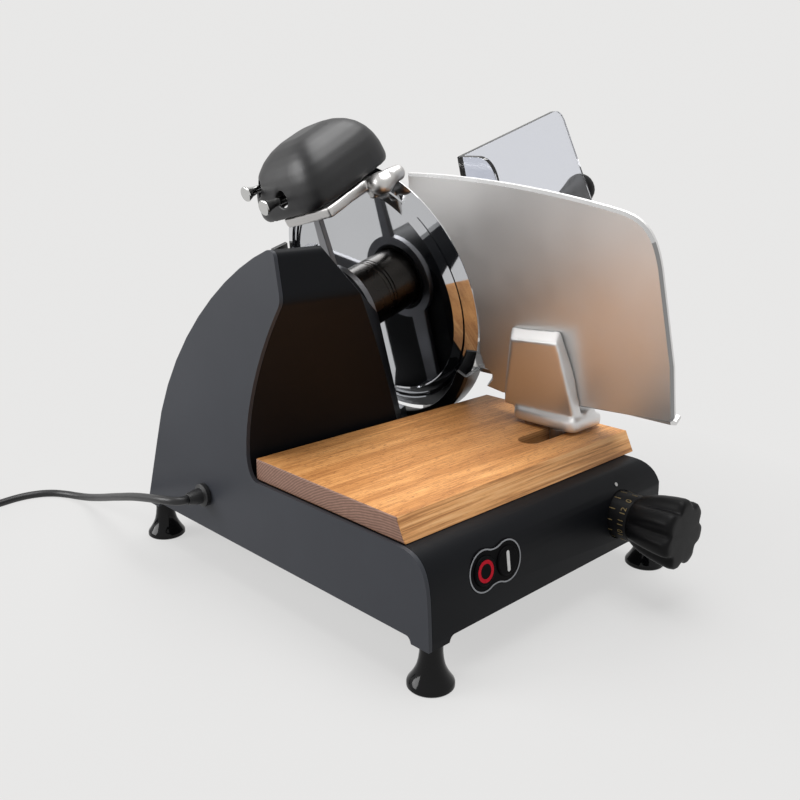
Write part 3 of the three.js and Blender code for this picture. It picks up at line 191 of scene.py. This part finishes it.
# Nodes inside the housing, which keep their solids, and nodes made apart from the rest
HIDDEN = (
    "motor", "motor_mount", "motor_shaft", "motor_pulley", "drive_belt", "blade_pulley", "bearing_front",
    "bearing_rear", "knob_shaft", "gauge_cam", "gauge_slide", "gauge_guide_rod", "carriage_slider",
)
CORD_ENDS = ("cord_tie", "mains_plug")
MADE_APART = ("blade", "thickness_knob", *FEET, "power_cord", "cord_coil", *CORD_ENDS)

# Frame: its nodes, and how far it lies from the drawing frame
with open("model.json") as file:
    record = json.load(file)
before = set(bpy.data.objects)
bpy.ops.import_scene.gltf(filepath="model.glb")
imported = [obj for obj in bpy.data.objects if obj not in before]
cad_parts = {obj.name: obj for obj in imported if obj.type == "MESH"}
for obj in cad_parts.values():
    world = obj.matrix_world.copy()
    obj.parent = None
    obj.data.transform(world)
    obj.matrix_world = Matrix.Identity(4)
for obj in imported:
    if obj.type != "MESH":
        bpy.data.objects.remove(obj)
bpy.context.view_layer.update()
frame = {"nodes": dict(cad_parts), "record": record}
NODES = frame["nodes"]
BODIES = frame["record"]["behaviour"]["bodies"]
BODY_OF = {node: body for body, members in BODIES.items() for node in members}
SLOT_OF = {entry["node"]: entry["material_slot"] for entry in frame["record"]["subparts"]}
SHIFT = Vector((
    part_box("cord_gland")[0].x - GLAND_END.x,
    sum(corner.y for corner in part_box("cord_gland")) / 2 - GLAND_END.y,
    0.0,
))


def add_object(name, data):
    piece = bpy.data.objects.new(name, data)
    bpy.context.scene.collection.objects.link(piece)
    return piece


def make_camera():
    level = math.cos(CAMERA_PITCH)
    forward = Vector((
        math.sin(CAMERA_YAW) * level,
        math.cos(CAMERA_YAW) * level,
        -math.sin(CAMERA_PITCH),
    ))
    right = forward.cross(Z_AXIS).normalized()
    up = right.cross(forward)
    across = math.cos(CAMERA_ROLL) * right + math.sin(CAMERA_ROLL) * up
    upright = math.cos(CAMERA_ROLL) * up - math.sin(CAMERA_ROLL) * right
    data = bpy.data.cameras.new("photo_camera")
    data.lens = CAMERA_LENS
    data.sensor_width = CAMERA_SENSOR
    data.clip_start = CAMERA_NEAR
    camera = add_object("photo_camera", data)
    turn = Matrix((across, upright, -forward)).transposed().to_4x4()
    camera.matrix_world = Matrix.Translation(CAMERA_PLACE + SHIFT) @ turn
    bpy.context.scene.camera = camera


class Finish:
    """A material: one shader, and the texture nodes that feed it."""

    def __init__(self, name, **shader):
        self.material = bpy.data.materials.new(name)
        self.material.use_nodes = True
        self.tree = self.material.node_tree
        self.shader = self.tree.nodes["Principled BSDF"]
        self.place = self.add("ShaderNodeTexCoord").outputs["Object"]
        for socket, value in shader.items():
            self.shader.inputs[socket.replace("_", " ")].default_value = value

    def add(self, kind, **settings):
        node = self.tree.nodes.new(kind)
        for name, value in settings.items():
            setattr(node, name, value)
        return node

    def link(self, source, target):
        self.tree.links.new(source, target)

    def give(self, socket, value):
        """Sets a socket to a number, or links it to another node's output."""
        if isinstance(value, (int, float)):
            socket.default_value = value
        else:
            self.link(value, socket)

    def mapped(self, setting, value):
        mapping = self.add("ShaderNodeMapping")
        mapping.inputs[setting].default_value = value
        self.link(self.place, mapping.inputs["Vector"])
        return mapping.outputs["Vector"]

    def noise(self, scale, detail=3.0, roughness=0.5, distortion=0.0, stretch=(1, 1, 1)):
        node = self.add("ShaderNodeTexNoise")
        node.inputs["Scale"].default_value = scale
        node.inputs["Detail"].default_value = detail
        node.inputs["Roughness"].default_value = roughness
        node.inputs["Distortion"].default_value = distortion
        self.link(self.mapped("Scale", stretch), node.inputs["Vector"])
        return node.outputs["Fac"]

    def ramp(self, factor, *stops):
        node = self.add("ShaderNodeValToRGB")
        elements = node.color_ramp.elements
        while len(elements) < len(stops):
            elements.new(0.5)
        for element, (position, colour) in zip(elements, stops):
            element.position = position
            element.color = (*colour, 1.0)
        self.link(factor, node.inputs["Fac"])
        return node.outputs["Color"]

    def spread(self, factor, low, high, reach=(0.0, 1.0)):
        node = self.add("ShaderNodeMapRange")
        for socket, value in zip(("From Min", "From Max", "To Min", "To Max"), (*reach, low, high)):
            node.inputs[socket].default_value = value
        self.link(factor, node.inputs["Value"])
        return node.outputs["Result"]

    def calculate(self, operation, first, second=0.0):
        node = self.add("ShaderNodeMath", operation=operation)
        for socket, value in zip(node.inputs, (first, second)):
            self.give(socket, value)
        return node.outputs["Value"]

    def mix(self, factor, first, second, blend="MIX"):
        """Mixes two colours; the node keeps its colour sockets behind those for other kinds."""
        node = self.add("ShaderNodeMix", data_type="RGBA", blend_type=blend)
        sockets = (node.inputs[0], node.inputs[6], node.inputs[7])
        for socket, value in zip(sockets, (factor, first, second)):
            self.give(socket, value)
        return node.outputs[2]

    def bump(self, texture, strength, height):
        node = self.add("ShaderNodeBump")
        node.inputs["Strength"].default_value = strength
        node.inputs["Distance"].default_value = height
        self.link(texture, node.inputs["Height"])
        self.feed("Normal", node.outputs["Normal"])

    def feed(self, socket, source):
        self.link(source, self.shader.inputs[socket])

    def clouded(self, texture, dark, light):
        self.feed("Base Color", self.ramp(texture, *zip(CLOUD_STOPS, (dark, light))))

    def shaded(self, colour, shade, scale, detail=3.0):
        """A colour that drifts to a darker share of itself."""
        dark = tuple(shade * value for value in colour)
        self.clouded(self.noise(scale, detail=detail), dark, colour)

    def roughened(self, low, high, scale, detail=3.0):
        self.feed("Roughness", self.spread(self.noise(scale, detail=detail), low, high))

    def grained(self, strength, scale):
        self.bump(self.noise(scale, detail=2), strength, GRAIN_HEIGHT)


def paint_finish(name, colour, specular):
    finish = Finish(name, IOR=1.5, Specular_IOR_Level=specular)
    finish.shaded(colour, shade=0.82, scale=9.0, detail=4)
    finish.roughened(0.42, 0.50, scale=40.0)
    finish.grained(0.10, scale=2600.0)
    return finish.material


def end_grain(finish):
    """Growth rings round the heart of the log, with grit along them."""
    rings = finish.add("ShaderNodeTexWave", wave_type="RINGS", rings_direction="X")
    rings.inputs["Scale"].default_value = 170.0
    rings.inputs["Distortion"].default_value = 2.5
    rings.inputs["Detail Scale"].default_value = 0.6
    finish.link(finish.mapped("Location", OAK_HEART), rings.inputs["Vector"])
    grit = finish.noise(scale=420.0, stretch=(0.3, 0.55, 1.6))
    ends = finish.ramp(rings.outputs["Fac"], *OAK_RINGS)
    return finish.mix(0.5, ends, finish.ramp(grit, *OAK_GRIT), "MULTIPLY")


def wood_finish():
    """Oak with its grain along X: figured faces, a streaked front bevel painted lighter as painted light,
    and ringed ends.
    """
    finish = Finish("oiled_oak", IOR=1.45, Coat_Weight=0.08, Coat_Roughness=0.35)
    figure = finish.noise(scale=7.0, detail=6, roughness=0.62, distortion=0.9, stretch=(0.55, 7.0, 7.0))
    fibre = finish.noise(scale=70.0, detail=6, roughness=0.75, stretch=(0.28, 12.0, 12.0))
    pores = finish.noise(scale=240.0, roughness=0.6, stretch=(0.75, 4.5, 4.5))
    streak = finish.noise(scale=26.0, detail=6, roughness=0.7, distortion=0.4, stretch=(0.35, 16.0, 16.0))
    face = finish.ramp(figure, *OAK_FIGURE)
    face = finish.mix(0.8, face, finish.ramp(fibre, *OAK_FIBRES), "MULTIPLY")
    face = finish.mix(0.75, face, finish.ramp(pores, *OAK_PORES), "MULTIPLY")
    # Painted light: the front bevel's streaks are grain, but their lightest colour is painted light to make
    # up for the smaller light on the sloping bevel.
    bevel = finish.mix(0.75, face, finish.ramp(streak, *OAK_STREAKS_AND_PAINTED_LIGHT))
    normal = finish.add("ShaderNodeSeparateXYZ")
    finish.link(finish.add("ShaderNodeNewGeometry").outputs["Normal"], normal.inputs["Vector"])
    forward = finish.calculate("LESS_THAN", normal.outputs["Y"], OAK_BEVEL_NORMAL)
    sideways = finish.calculate("ABSOLUTE", normal.outputs["X"])
    across = finish.calculate("GREATER_THAN", sideways, OAK_END_NORMAL)
    finish.feed("Base Color", finish.mix(across, finish.mix(forward, face, bevel), end_grain(finish)))
    finish.feed("Roughness", finish.spread(fibre, 0.62, 0.42))
    finish.bump(finish.calculate("ADD", fibre, pores), strength=0.22, height=0.0006)
    return finish.material


def cast_finish(name, metallic, colour, roughness):
    finish = Finish(name, Metallic=metallic)
    finish.shaded(colour, shade=0.93, scale=11.0)
    finish.roughened(roughness - 0.05, roughness + 0.05, scale=30.0, detail=4)
    finish.grained(0.12, scale=3200.0)
    return finish.material


def polished_finish(name, colour, roughness):
    finish = Finish(name, Metallic=1.0)
    finish.shaded(colour, shade=0.96, scale=14.0, detail=4)
    finish.roughened(0.75 * roughness, 1.25 * roughness, scale=50.0, detail=5)
    return finish.material


def turned_finish():
    finish = Finish("turned_steel", Metallic=1.0, Anisotropic=0.5)
    marks = finish.noise(scale=900.0, detail=2, stretch=(1.0, 0.05, 0.05))
    finish.clouded(marks, dark=(0.36, 0.355, 0.35), light=(0.50, 0.495, 0.49))
    finish.feed("Roughness", finish.spread(marks, 0.24, 0.36))
    finish.bump(marks, strength=0.08, height=GRAIN_HEIGHT)
    return finish.material


def plastic_finish(name, colour, roughness, grain, specular=0.5):
    finish = Finish(name, IOR=1.47, Specular_IOR_Level=specular)
    finish.shaded(colour, shade=0.75, scale=18.0)
    finish.roughened(roughness - 0.05, roughness + 0.05, scale=70.0, detail=4)
    finish.grained(grain, scale=2400.0)
    return finish.material


def clear_finish():
    finish = Finish("clear_guard", IOR=1.49, Transmission_Weight=1.0)
    finish.clouded(finish.noise(scale=6.0), dark=(0.77, 0.79, 0.85), light=(0.79, 0.81, 0.87))
    finish.roughened(0.01, 0.03, scale=40.0)
    return finish.material


def stone_finish():
    finish = Finish("grindstone", IOR=1.5)
    grit = finish.noise(scale=900.0, detail=6, roughness=0.8)
    finish.feed("Base Color", finish.ramp(grit, (0.35, (0.06, 0.05, 0.05)), (0.65, (0.2, 0.17, 0.15))))
    finish.feed("Roughness", finish.spread(grit, 0.75, 0.95))
    finish.bump(grit, strength=0.5, height=0.0005)
    return finish.material


def ink_finish(name, colour):
    finish = Finish(name, IOR=1.45, Specular_IOR_Level=0.1)
    finish.shaded(colour, shade=0.85, scale=300.0)
    finish.roughened(0.4, 0.5, scale=200.0)
    return finish.material


FINISH = {
    "body_paint": paint_finish("satin_black_paint", (0.0042, 0.0048, 0.0064), specular=0.11),
    "dark_steel": polished_finish("dark_steel", (0.16, 0.16, 0.17), roughness=0.45),
    "foot_black": plastic_finish("gloss_black", (0.003, 0.003, 0.0035), 0.10, grain=0.01, specular=0.22),
    "oak": wood_finish(),
    "cast_aluminium": cast_finish("satin_cast_aluminium", 1.0, (0.56, 0.55, 0.54), roughness=0.35),
    "blade_steel": polished_finish("mirror_steel", (0.56, 0.57, 0.59), roughness=0.05),
    "turned_steel": turned_finish(),
    "black_plastic": plastic_finish("matte_black", (0.006, 0.006, 0.0065), 0.44, grain=0.14, specular=0.12),
    "chrome": polished_finish("chrome", (0.60, 0.60, 0.59), roughness=0.08),
    "grindstone": stone_finish(),
    "clear_guard": clear_finish(),
    "cord_rubber": plastic_finish("cord_black", (0.012, 0.012, 0.013), 0.42, grain=0.06),
}
SATIN_PLATE = cast_finish("satin_anodised_plate", 0.88, (0.76, 0.755, 0.75), roughness=0.44)
DARK_CHROME = polished_finish("dark_chrome", (0.055, 0.050, 0.045), roughness=0.27)
SWITCH_BLACK = plastic_finish("switch_black", (0.002, 0.002, 0.0025), 0.50, grain=0.05, specular=0.05)
NODE_FINISH = {
    "switch_plate": SWITCH_BLACK,
    "off_button": SWITCH_BLACK,
    "on_button": SWITCH_BLACK,
    # Painted light: the side cover gets a lighter copy of the housing's black paint, standing in for light
    # on the lit left side.
    "side_cover": paint_finish("cover_paint_painted_light", (0.0340, 0.0368, 0.0450), specular=0.25),
    "gauge_plate": SATIN_PLATE,
    "gauge_bracket": SATIN_PLATE,
    "blade_flange": DARK_CHROME,
    "hub_sleeve": DARK_CHROME,
    "ring_guard": cast_finish("dark_ring", 1.0, (0.10, 0.10, 0.10), roughness=0.34),
    "ring_support": cast_finish("grey_casting", 1.0, (0.24, 0.24, 0.25), roughness=0.40),
    "sharpener_cover": plastic_finish("satin_black_hood", (0.009, 0.009, 0.010), 0.42, grain=0.10),
}
POLISHED_EDGE = polished_finish("polished_edge", (0.62, 0.62, 0.62), roughness=0.26)
# Painted shade: the gauge plate's down-facing chamfer gets this darker copy of the cast finish.
PAINTED_SHADE_EDGE = cast_finish("painted_shade_edge", 1.0, (0.30, 0.30, 0.30), roughness=0.40)
WHITE_INK = ink_finish("white_ink", (0.75, 0.75, 0.74))
GREY_INK = ink_finish("grey_ink", (0.36, 0.37, 0.39))
RED_INK = ink_finish("red_ink", (0.58, 0.006, 0.022))
GOLD_INK = ink_finish("gold_ink", (0.24, 0.18, 0.085))


def finish_of(node):
    return NODE_FINISH.get(node, FINISH[SLOT_OF[node]])


def finish_node(node):
    materials = NODES[node].data.materials
    materials.clear()
    materials.append(finish_of(node))


def skin_piece(node, work, crease):
    """A worked surface in the node's finish, smooth up to the bend of a crease."""
    mesh = bpy.data.meshes.new(f"{node}_skin")
    work.to_mesh(mesh)
    work.free()
    mesh.materials.append(finish_of(node))
    mesh.shade_smooth()
    mesh.set_sharp_from_angle(angle=crease)
    return add_object(f"{node}_skin", mesh)


def stand_in(skin, node):
    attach(skin, BODY_OF[node])
    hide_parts(node)


def welded_solid(node):
    """The node's solid with its facets joined into whole faces."""
    source = NODES[node].data.copy()
    if "custom_normal" in source.attributes:
        source.attributes.remove(source.attributes["custom_normal"])
    work = bmesh.new()
    work.from_mesh(source)
    bpy.data.meshes.remove(source)
    bmesh.ops.remove_doubles(work, verts=work.verts, dist=WELD)
    bmesh.ops.dissolve_limit(work, angle_limit=FLAT_BEND, verts=work.verts, edges=work.edges)
    return work


def round_casting(piece, passes):
    skin = piece.modifiers.new("cast_skin", "REMESH")
    skin.mode = "VOXEL"
    skin.voxel_size = CAST_VOXEL
    skin.use_smooth_shade = True
    rounding = piece.modifiers.new("cast_rounding", "SMOOTH")
    rounding.factor = CAST_ROUNDING
    rounding.iterations = passes


def soften_edges(piece, width):
    edges = piece.modifiers.new("soft_edges", "BEVEL")
    edges.width = width
    edges.segments = EDGE_SEGMENTS
    edges.limit_method = "ANGLE"
    edges.angle_limit = SHARP_BEND
    edges.harden_normals = True


def dress(node):
    """A copy of the node's solid with softened edges stands in for it; some castings are rounded over."""
    work = welded_solid(node)
    if node == "sharpener_bridge":
        add_boss(work)
    piece = skin_piece(node, work, SHARP_BEND)
    if node == "gauge_plate":
        polish_rim(piece)
    if node in CAST_PASSES:
        round_casting(piece, CAST_PASSES[node])
    else:
        soften_edges(piece, EDGE_WIDTHS.get(node, EDGE_WIDTH))
    stand_in(piece, node)


def add_boss(work):
    """Round mass where the bridge's bar and boss meet, to be blended into them."""
    place = Matrix.Translation(HEAD_CENTRE + SHIFT) @ Matrix.Rotation(-HEAD_TILT, 4, "Y")
    place = place @ Matrix.Translation(BOSS_CENTRE) @ Matrix.Diagonal((*BOSS_HALF, 1.0))
    bmesh.ops.create_uvsphere(
        work,
        u_segments=BOSS_STEPS,
        v_segments=BOSS_STEPS // 2,
        radius=1.0,
        matrix=place,
    )


def polish_rim(plate):
    """The chamfer along the plate's top is polished and the one below is painted darker as painted shade,
    as it faces down; the rest stays satin.
    """
    centre = HEAD_CENTRE + SHIFT
    plate.data.materials.append(POLISHED_EDGE)
    plate.data.materials.append(PAINTED_SHADE_EDGE)
    for face in plate.data.polygons:
        depth = (face.center - centre).dot(HEAD_AXIS)
        if depth < -RIM_DEPTH and abs(face.normal.dot(HEAD_AXIS)) < RIM_SLOPE:
            face.material_index = 1 if face.normal.z > 0 else 2


def make_skin(node, rings, crease):
    """A closed surface through rings of points stands in for a node; a ring of one point closes an end."""
    work = bmesh.new()
    rows = [[work.verts.new(point) for point in ring] for ring in rings]
    steps = max(len(row) for row in rows)
    for near, far in zip(rows, rows[1:]):
        for step in range(steps):
            walk = ((near, step), (near, step + 1), (far, step + 1), (far, step))
            corners = [row[turn % len(row)] for row, turn in walk]
            work.faces.new(dict.fromkeys(corners))
    bmesh.ops.recalc_face_normals(work, faces=work.faces)
    stand_in(skin_piece(node, work, crease), node)


def full_turn(steps):
    return [2 * math.pi * step / steps for step in range(steps)]


def turned_rings(profile, centre, axis, across, steps):
    """Rings of a turned solid from [radius, distance along the axis]."""
    upright = axis.cross(across)
    turns = full_turn(steps)
    spokes = [math.cos(turn) * across + math.sin(turn) * upright for turn in turns]
    rings = []
    for radius, along in profile:
        middle = centre + axis * along
        rings.append([middle + radius * spoke for spoke in spokes] if radius else [middle])
    return rings


def make_blade():
    """Disc with polished bands too narrow for the solid."""
    rings = turned_rings(BLADE_PROFILE, HEAD_CENTRE + SHIFT, HEAD_AXIS, Y_AXIS, BLADE_STEPS)
    make_skin("blade", rings, BLADE_CREASE)


def make_knob():
    """Grip that fills out quickly behind the collar, with hollow flutes between its lobes."""
    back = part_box("thickness_knob")[1].y
    rings = []
    for along, radius, depth in KNOB_STATIONS:
        ring = []
        for turn in full_turn(KNOB_STEPS):
            hollow = (0.5 - 0.5 * math.cos(KNOB_LOBES * turn)) ** KNOB_FLUTE
            reach = radius * (1 - depth * hollow)
            ring.append(Vector((
                KNOB_CENTRE.x + SHIFT.x + reach * math.sin(turn),
                back - along,
                KNOB_CENTRE.z + reach * math.cos(turn),
            )))
        rings.append(ring)
    first, last = ([sum(ring, Vector()) / len(ring)] for ring in (rings[0], rings[-1]))
    make_skin("thickness_knob", [first, *rings, last], KNOB_CREASE)


def make_feet():
    for node in FEET:
        low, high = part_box(node)
        radius = (high.x - low.x) / 2
        profile = [(radius * out, (high.z - low.z) * up) for out, up in FOOT_PROFILE]
        base = Vector(((low.x + high.x) / 2, (low.y + high.y) / 2, low.z))
        make_skin(node, turned_rings(profile, base, Z_AXIS, X_AXIS, FOOT_STEPS), FOOT_CREASE)


def print_on(sign, place, ink, body):
    sign.matrix_world = place
    sign.data.materials.append(ink)
    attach(sign, body)


def make_sign(name, loops, place, ink, body):
    """A thin printed shape from closed outlines; inner outlines are left open."""
    curve = bpy.data.curves.new(name, "CURVE")
    curve.dimensions = "2D"
    curve.fill_mode = "BOTH"
    curve.extrude = SIGN_THICKNESS / 2
    for loop in loops:
        spline = curve.splines.new("POLY")
        spline.points.add(len(loop) - 1)
        spline.use_cyclic_u = True
        for point, (across, up) in zip(spline.points, loop):
            point.co = (across, up, 0, 1)
    print_on(add_object(name, curve), place, ink, body)


def arc(centre, radius, start, end, steps=LOBE_STEPS):
    turns = [start + (end - start) * step / steps for step in range(steps + 1)]
    return [(centre[0] + radius * math.cos(turn), centre[1] + radius * math.sin(turn)) for turn in turns]


def circle(radius):
    return arc((0, 0), radius, 0, 2 * math.pi)[:-1]


def waist(*knots):
    """Points between the ends of a curve pulled by its two middle knots."""
    points = []
    for step in range(1, WAIST_STEPS):
        t = step / WAIST_STEPS
        weights = ((1 - t) ** 3, 3 * t * (1 - t) ** 2, 3 * t * t * (1 - t), t ** 3)
        points.append(tuple(
            sum(weight * knot[axis] for weight, knot in zip(weights, knots))
            for axis in (0, 1)
        ))
    return points


def switch_outline(inset):
    """Two round lobes with a waist between them."""
    radius = SWITCH_LOBE - inset
    across = math.cos(SWITCH_LOBE_END)
    up = math.sin(SWITCH_LOBE_END)
    end = (SWITCH_PITCH + radius * across, radius * up)
    pull = (end[0] - SWITCH_WAIST * up, end[1] + SWITCH_WAIST * across)
    points = []
    for side in (1, -1):
        middle = 0 if side > 0 else math.pi
        lobe = (side * SWITCH_PITCH, 0)
        points += arc(lobe, radius, middle - SWITCH_LOBE_END, middle + SWITCH_LOBE_END)
        mirrored = zip((side, side, -side, -side), (end, pull, pull, end))
        points += waist(*((flip * x, side * y) for flip, (x, y) in mirrored))
    return points


def make_switch_signs():
    turn = Matrix.Rotation(SWITCH_LEAN + math.pi / 2, 4, "X")
    plane = Matrix.Translation(SWITCH_CENTRE + SHIFT) @ turn

    def on_face(across, height):
        return plane @ Matrix.Translation((across, 0, height + SIGN_THICKNESS))

    rim = [switch_outline(inset) for inset in SWITCH_RIM]
    make_sign("switch_rim", rim, on_face(0, SWITCH_FACE), GREY_INK, "frame")
    ring = [circle(radius) for radius in OFF_RING]
    make_sign("off_sign", ring, on_face(-SWITCH_PITCH, BUTTON_FACE), RED_INK, "off_switch")
    length, width = ON_BAR
    reach = (length - width) / 2
    bar = arc((0, reach), width / 2, 0, math.pi, BAR_STEPS)
    bar += arc((0, -reach), width / 2, math.pi, 2 * math.pi, BAR_STEPS)
    make_sign("on_sign", [bar], on_face(SWITCH_PITCH, BUTTON_FACE), WHITE_INK, "on_switch")


def make_dial():
    """Numbers and ticks round the collar, and the fixed index dot above it."""
    lift = COLLAR_RADIUS + SIGN_THICKNESS
    half = TICK_WIDTH / 2
    low, high = TICK_Y
    tick = [(-half, low), (half, low), (half, high), (-half, high)]
    for number in range(DIAL_COUNT):
        angle = DIAL_START + DIAL_STEP * number
        outward = Vector((math.sin(angle), 0, math.cos(angle)))
        across = Vector((math.cos(angle), 0, -math.sin(angle)))
        turn = Matrix((across, Y_AXIS, outward)).transposed().to_4x4()
        centre = Matrix.Translation(KNOB_CENTRE + SHIFT + outward * lift) @ turn
        text = bpy.data.curves.new(f"dial_number_{number}", "FONT")
        text.body = str(number)
        text.size = DIGIT_SIZE
        text.align_x = "CENTER"
        text.align_y = "CENTER"
        text.extrude = SIGN_THICKNESS / 2
        digit = add_object(f"dial_number_{number}", text)
        print_on(digit, centre @ Matrix.Translation((0, DIGIT_Y, 0)), GOLD_INK, "knob")
        make_sign(f"dial_tick_{number}", [tick], centre, GOLD_INK, "knob")
    wall = Matrix.Translation(INDEX_DOT + SHIFT) @ Matrix.Rotation(INDEX_LEAN, 4, "X")
    make_sign("dial_index", [circle(INDEX_RADIUS)], wall, WHITE_INK, "frame")


def smooth_step(value, low, high):
    share = min(max((value - low) / (high - low), 0.0), 1.0)
    return share * share * (3 - 2 * share)


def wound_point(turns):
    """Point on the coil: inwards on the floor, up to a second layer, outwards, and up to the plug."""
    angle = COIL_START - 2 * math.pi * turns
    from_middle = turns - COIL_TURNS / 2
    radius = COIL_OUTER - COIL_PITCH * (COIL_TURNS / 2 - abs(from_middle))
    half_climb = COIL_CLIMB_TURNS / 2
    climb = smooth_step(from_middle, -half_climb, half_climb) * (COIL_HIGH - COIL_LOW)
    lift = smooth_step(turns, COIL_TURNS - COIL_LIFT_TURNS, COIL_TURNS) * (PLUG_AXIS_Z - COIL_HIGH)
    return COIL_CENTRE + Vector((
        radius * math.cos(angle),
        radius * math.sin(angle),
        COIL_LOW + climb + lift,
    ))


def coil_heading(turns):
    step = wound_point(turns + COIL_NUDGE) - wound_point(turns - COIL_NUDGE)
    step.z = 0
    return step.normalized()


def cord_points():
    """The cord's route, its lead into the coil, the coil's turns and its lead into the plug."""
    start = wound_point(0)
    heading = coil_heading(0)
    end = wound_point(COIL_TURNS)
    count = COIL_STEPS * COIL_TURNS
    points = [Vector(point) for point in CORD_ROUTE]
    points += [start - heading * (CORD_LEAD + CORD_LEAD_STEP), start - heading * CORD_LEAD]
    points += [wound_point(COIL_TURNS * step / count) for step in range(count + 1)]
    points.append(end + coil_heading(COIL_TURNS) * CORD_LEAD)
    return points


def make_cord():
    points = cord_points()
    curve = bpy.data.curves.new("power_cord_flex", "CURVE")
    curve.dimensions = "3D"
    curve.bevel_depth = CORD_RADIUS
    curve.bevel_resolution = 3
    curve.resolution_u = 4
    curve.use_fill_caps = True
    spline = curve.splines.new("BEZIER")
    spline.bezier_points.add(len(points) - 1)
    for knot, point in zip(spline.bezier_points, points):
        knot.co = point + SHIFT
        knot.handle_left_type = "AUTO"
        knot.handle_right_type = "AUTO"
    curve.materials.append(FINISH["cord_rubber"])
    cord = add_object("power_cord_flex", curve)
    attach(cord, "frame")
    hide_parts("power_cord", "cord_coil")
    for node in CORD_ENDS:
        finish_node(node)


def pale_to_eye(tree):
    """1 for what is seen directly, in a mirror or through glass, and 0 for light on the object."""
    path = tree.nodes.new("ShaderNodeLightPath")
    total = path.outputs["Is Camera Ray"]
    for ray in ("Is Glossy Ray", "Is Transmission Ray"):
        either = tree.nodes.new("ShaderNodeMath")
        either.operation = "MAXIMUM"
        tree.links.new(total, either.inputs[0])
        tree.links.new(path.outputs[ray], either.inputs[1])
        total = either.outputs["Value"]
    return total


def mix_shaders(tree, share, first, second, output):
    mix = tree.nodes.new("ShaderNodeMixShader")
    for source, socket in zip((share, first.outputs[0], second.outputs[0]), mix.inputs):
        tree.links.new(source, socket)
    tree.links.new(mix.outputs[0], tree.nodes[output].inputs["Surface"])


def make_world():
    world = bpy.data.worlds.new("studio")
    bpy.context.scene.world = world
    world.use_nodes = True
    tree = world.node_tree
    light = tree.nodes["Background"]
    light.inputs["Color"].default_value = (*WHITE, 1.0)
    light.inputs["Strength"].default_value = SURROUND_LIGHT
    backdrop = tree.nodes.new("ShaderNodeBackground")
    backdrop.inputs["Color"].default_value = (*BACKDROP, 1.0)
    mix_shaders(tree, pale_to_eye(tree), light, backdrop, "World Output")


def make_floor():
    """A pale floor that keeps a faint shadow near the object and fades into the backdrop."""
    half = FLOOR_SIZE / 2
    corners = [(-half, -half, 0), (half, -half, 0), (half, half, 0), (-half, half, 0)]
    mesh = bpy.data.meshes.new("studio_floor")
    mesh.from_pydata(corners, [], [(0, 1, 2, 3)])
    floor = add_object("studio_floor", mesh)
    finish = Finish("studio_floor", Specular_IOR_Level=0.0)
    finish.clouded(finish.noise(scale=2.0), *FLOOR_COLOURS)
    finish.roughened(0.8, 0.9, scale=5.0)
    distance = finish.add("ShaderNodeVectorMath", operation="LENGTH")
    finish.link(finish.place, distance.inputs[0])
    glow = finish.spread(distance.outputs["Value"], *FLOOR_GLOW, reach=FLOOR_GLOW_REACH)
    share = finish.calculate("MULTIPLY", glow, pale_to_eye(finish.tree))
    emission = finish.add("ShaderNodeEmission")
    emission.inputs["Color"].default_value = (*BACKDROP, 1.0)
    mix_shaders(finish.tree, share, finish.shader, emission, "Material Output")
    mesh.materials.append(finish.material)


def make_studio():
    bpy.context.scene.view_settings.view_transform = "Standard"
    make_world()
    make_floor()
    for name, (place, (width, height), power) in SOFTBOXES.items():
        data = bpy.data.lights.new(name, "AREA")
        data.shape = "RECTANGLE"
        data.size = width
        data.size_y = height
        data.energy = power
        lamp = add_object(name, data)
        lamp.visible_camera = False
        lamp.location = place
        lamp.rotation_euler = (SOFTBOX_AIM - place).to_track_quat("-Z", "Y").to_euler()


make_camera()
make_cord()
make_studio()
make_blade()
make_knob()
make_feet()
make_switch_signs()
make_dial()

for node_name in NODES:
    if node_name in HIDDEN:
        finish_node(node_name)
    elif node_name not in MADE_APART:
        dress(node_name)
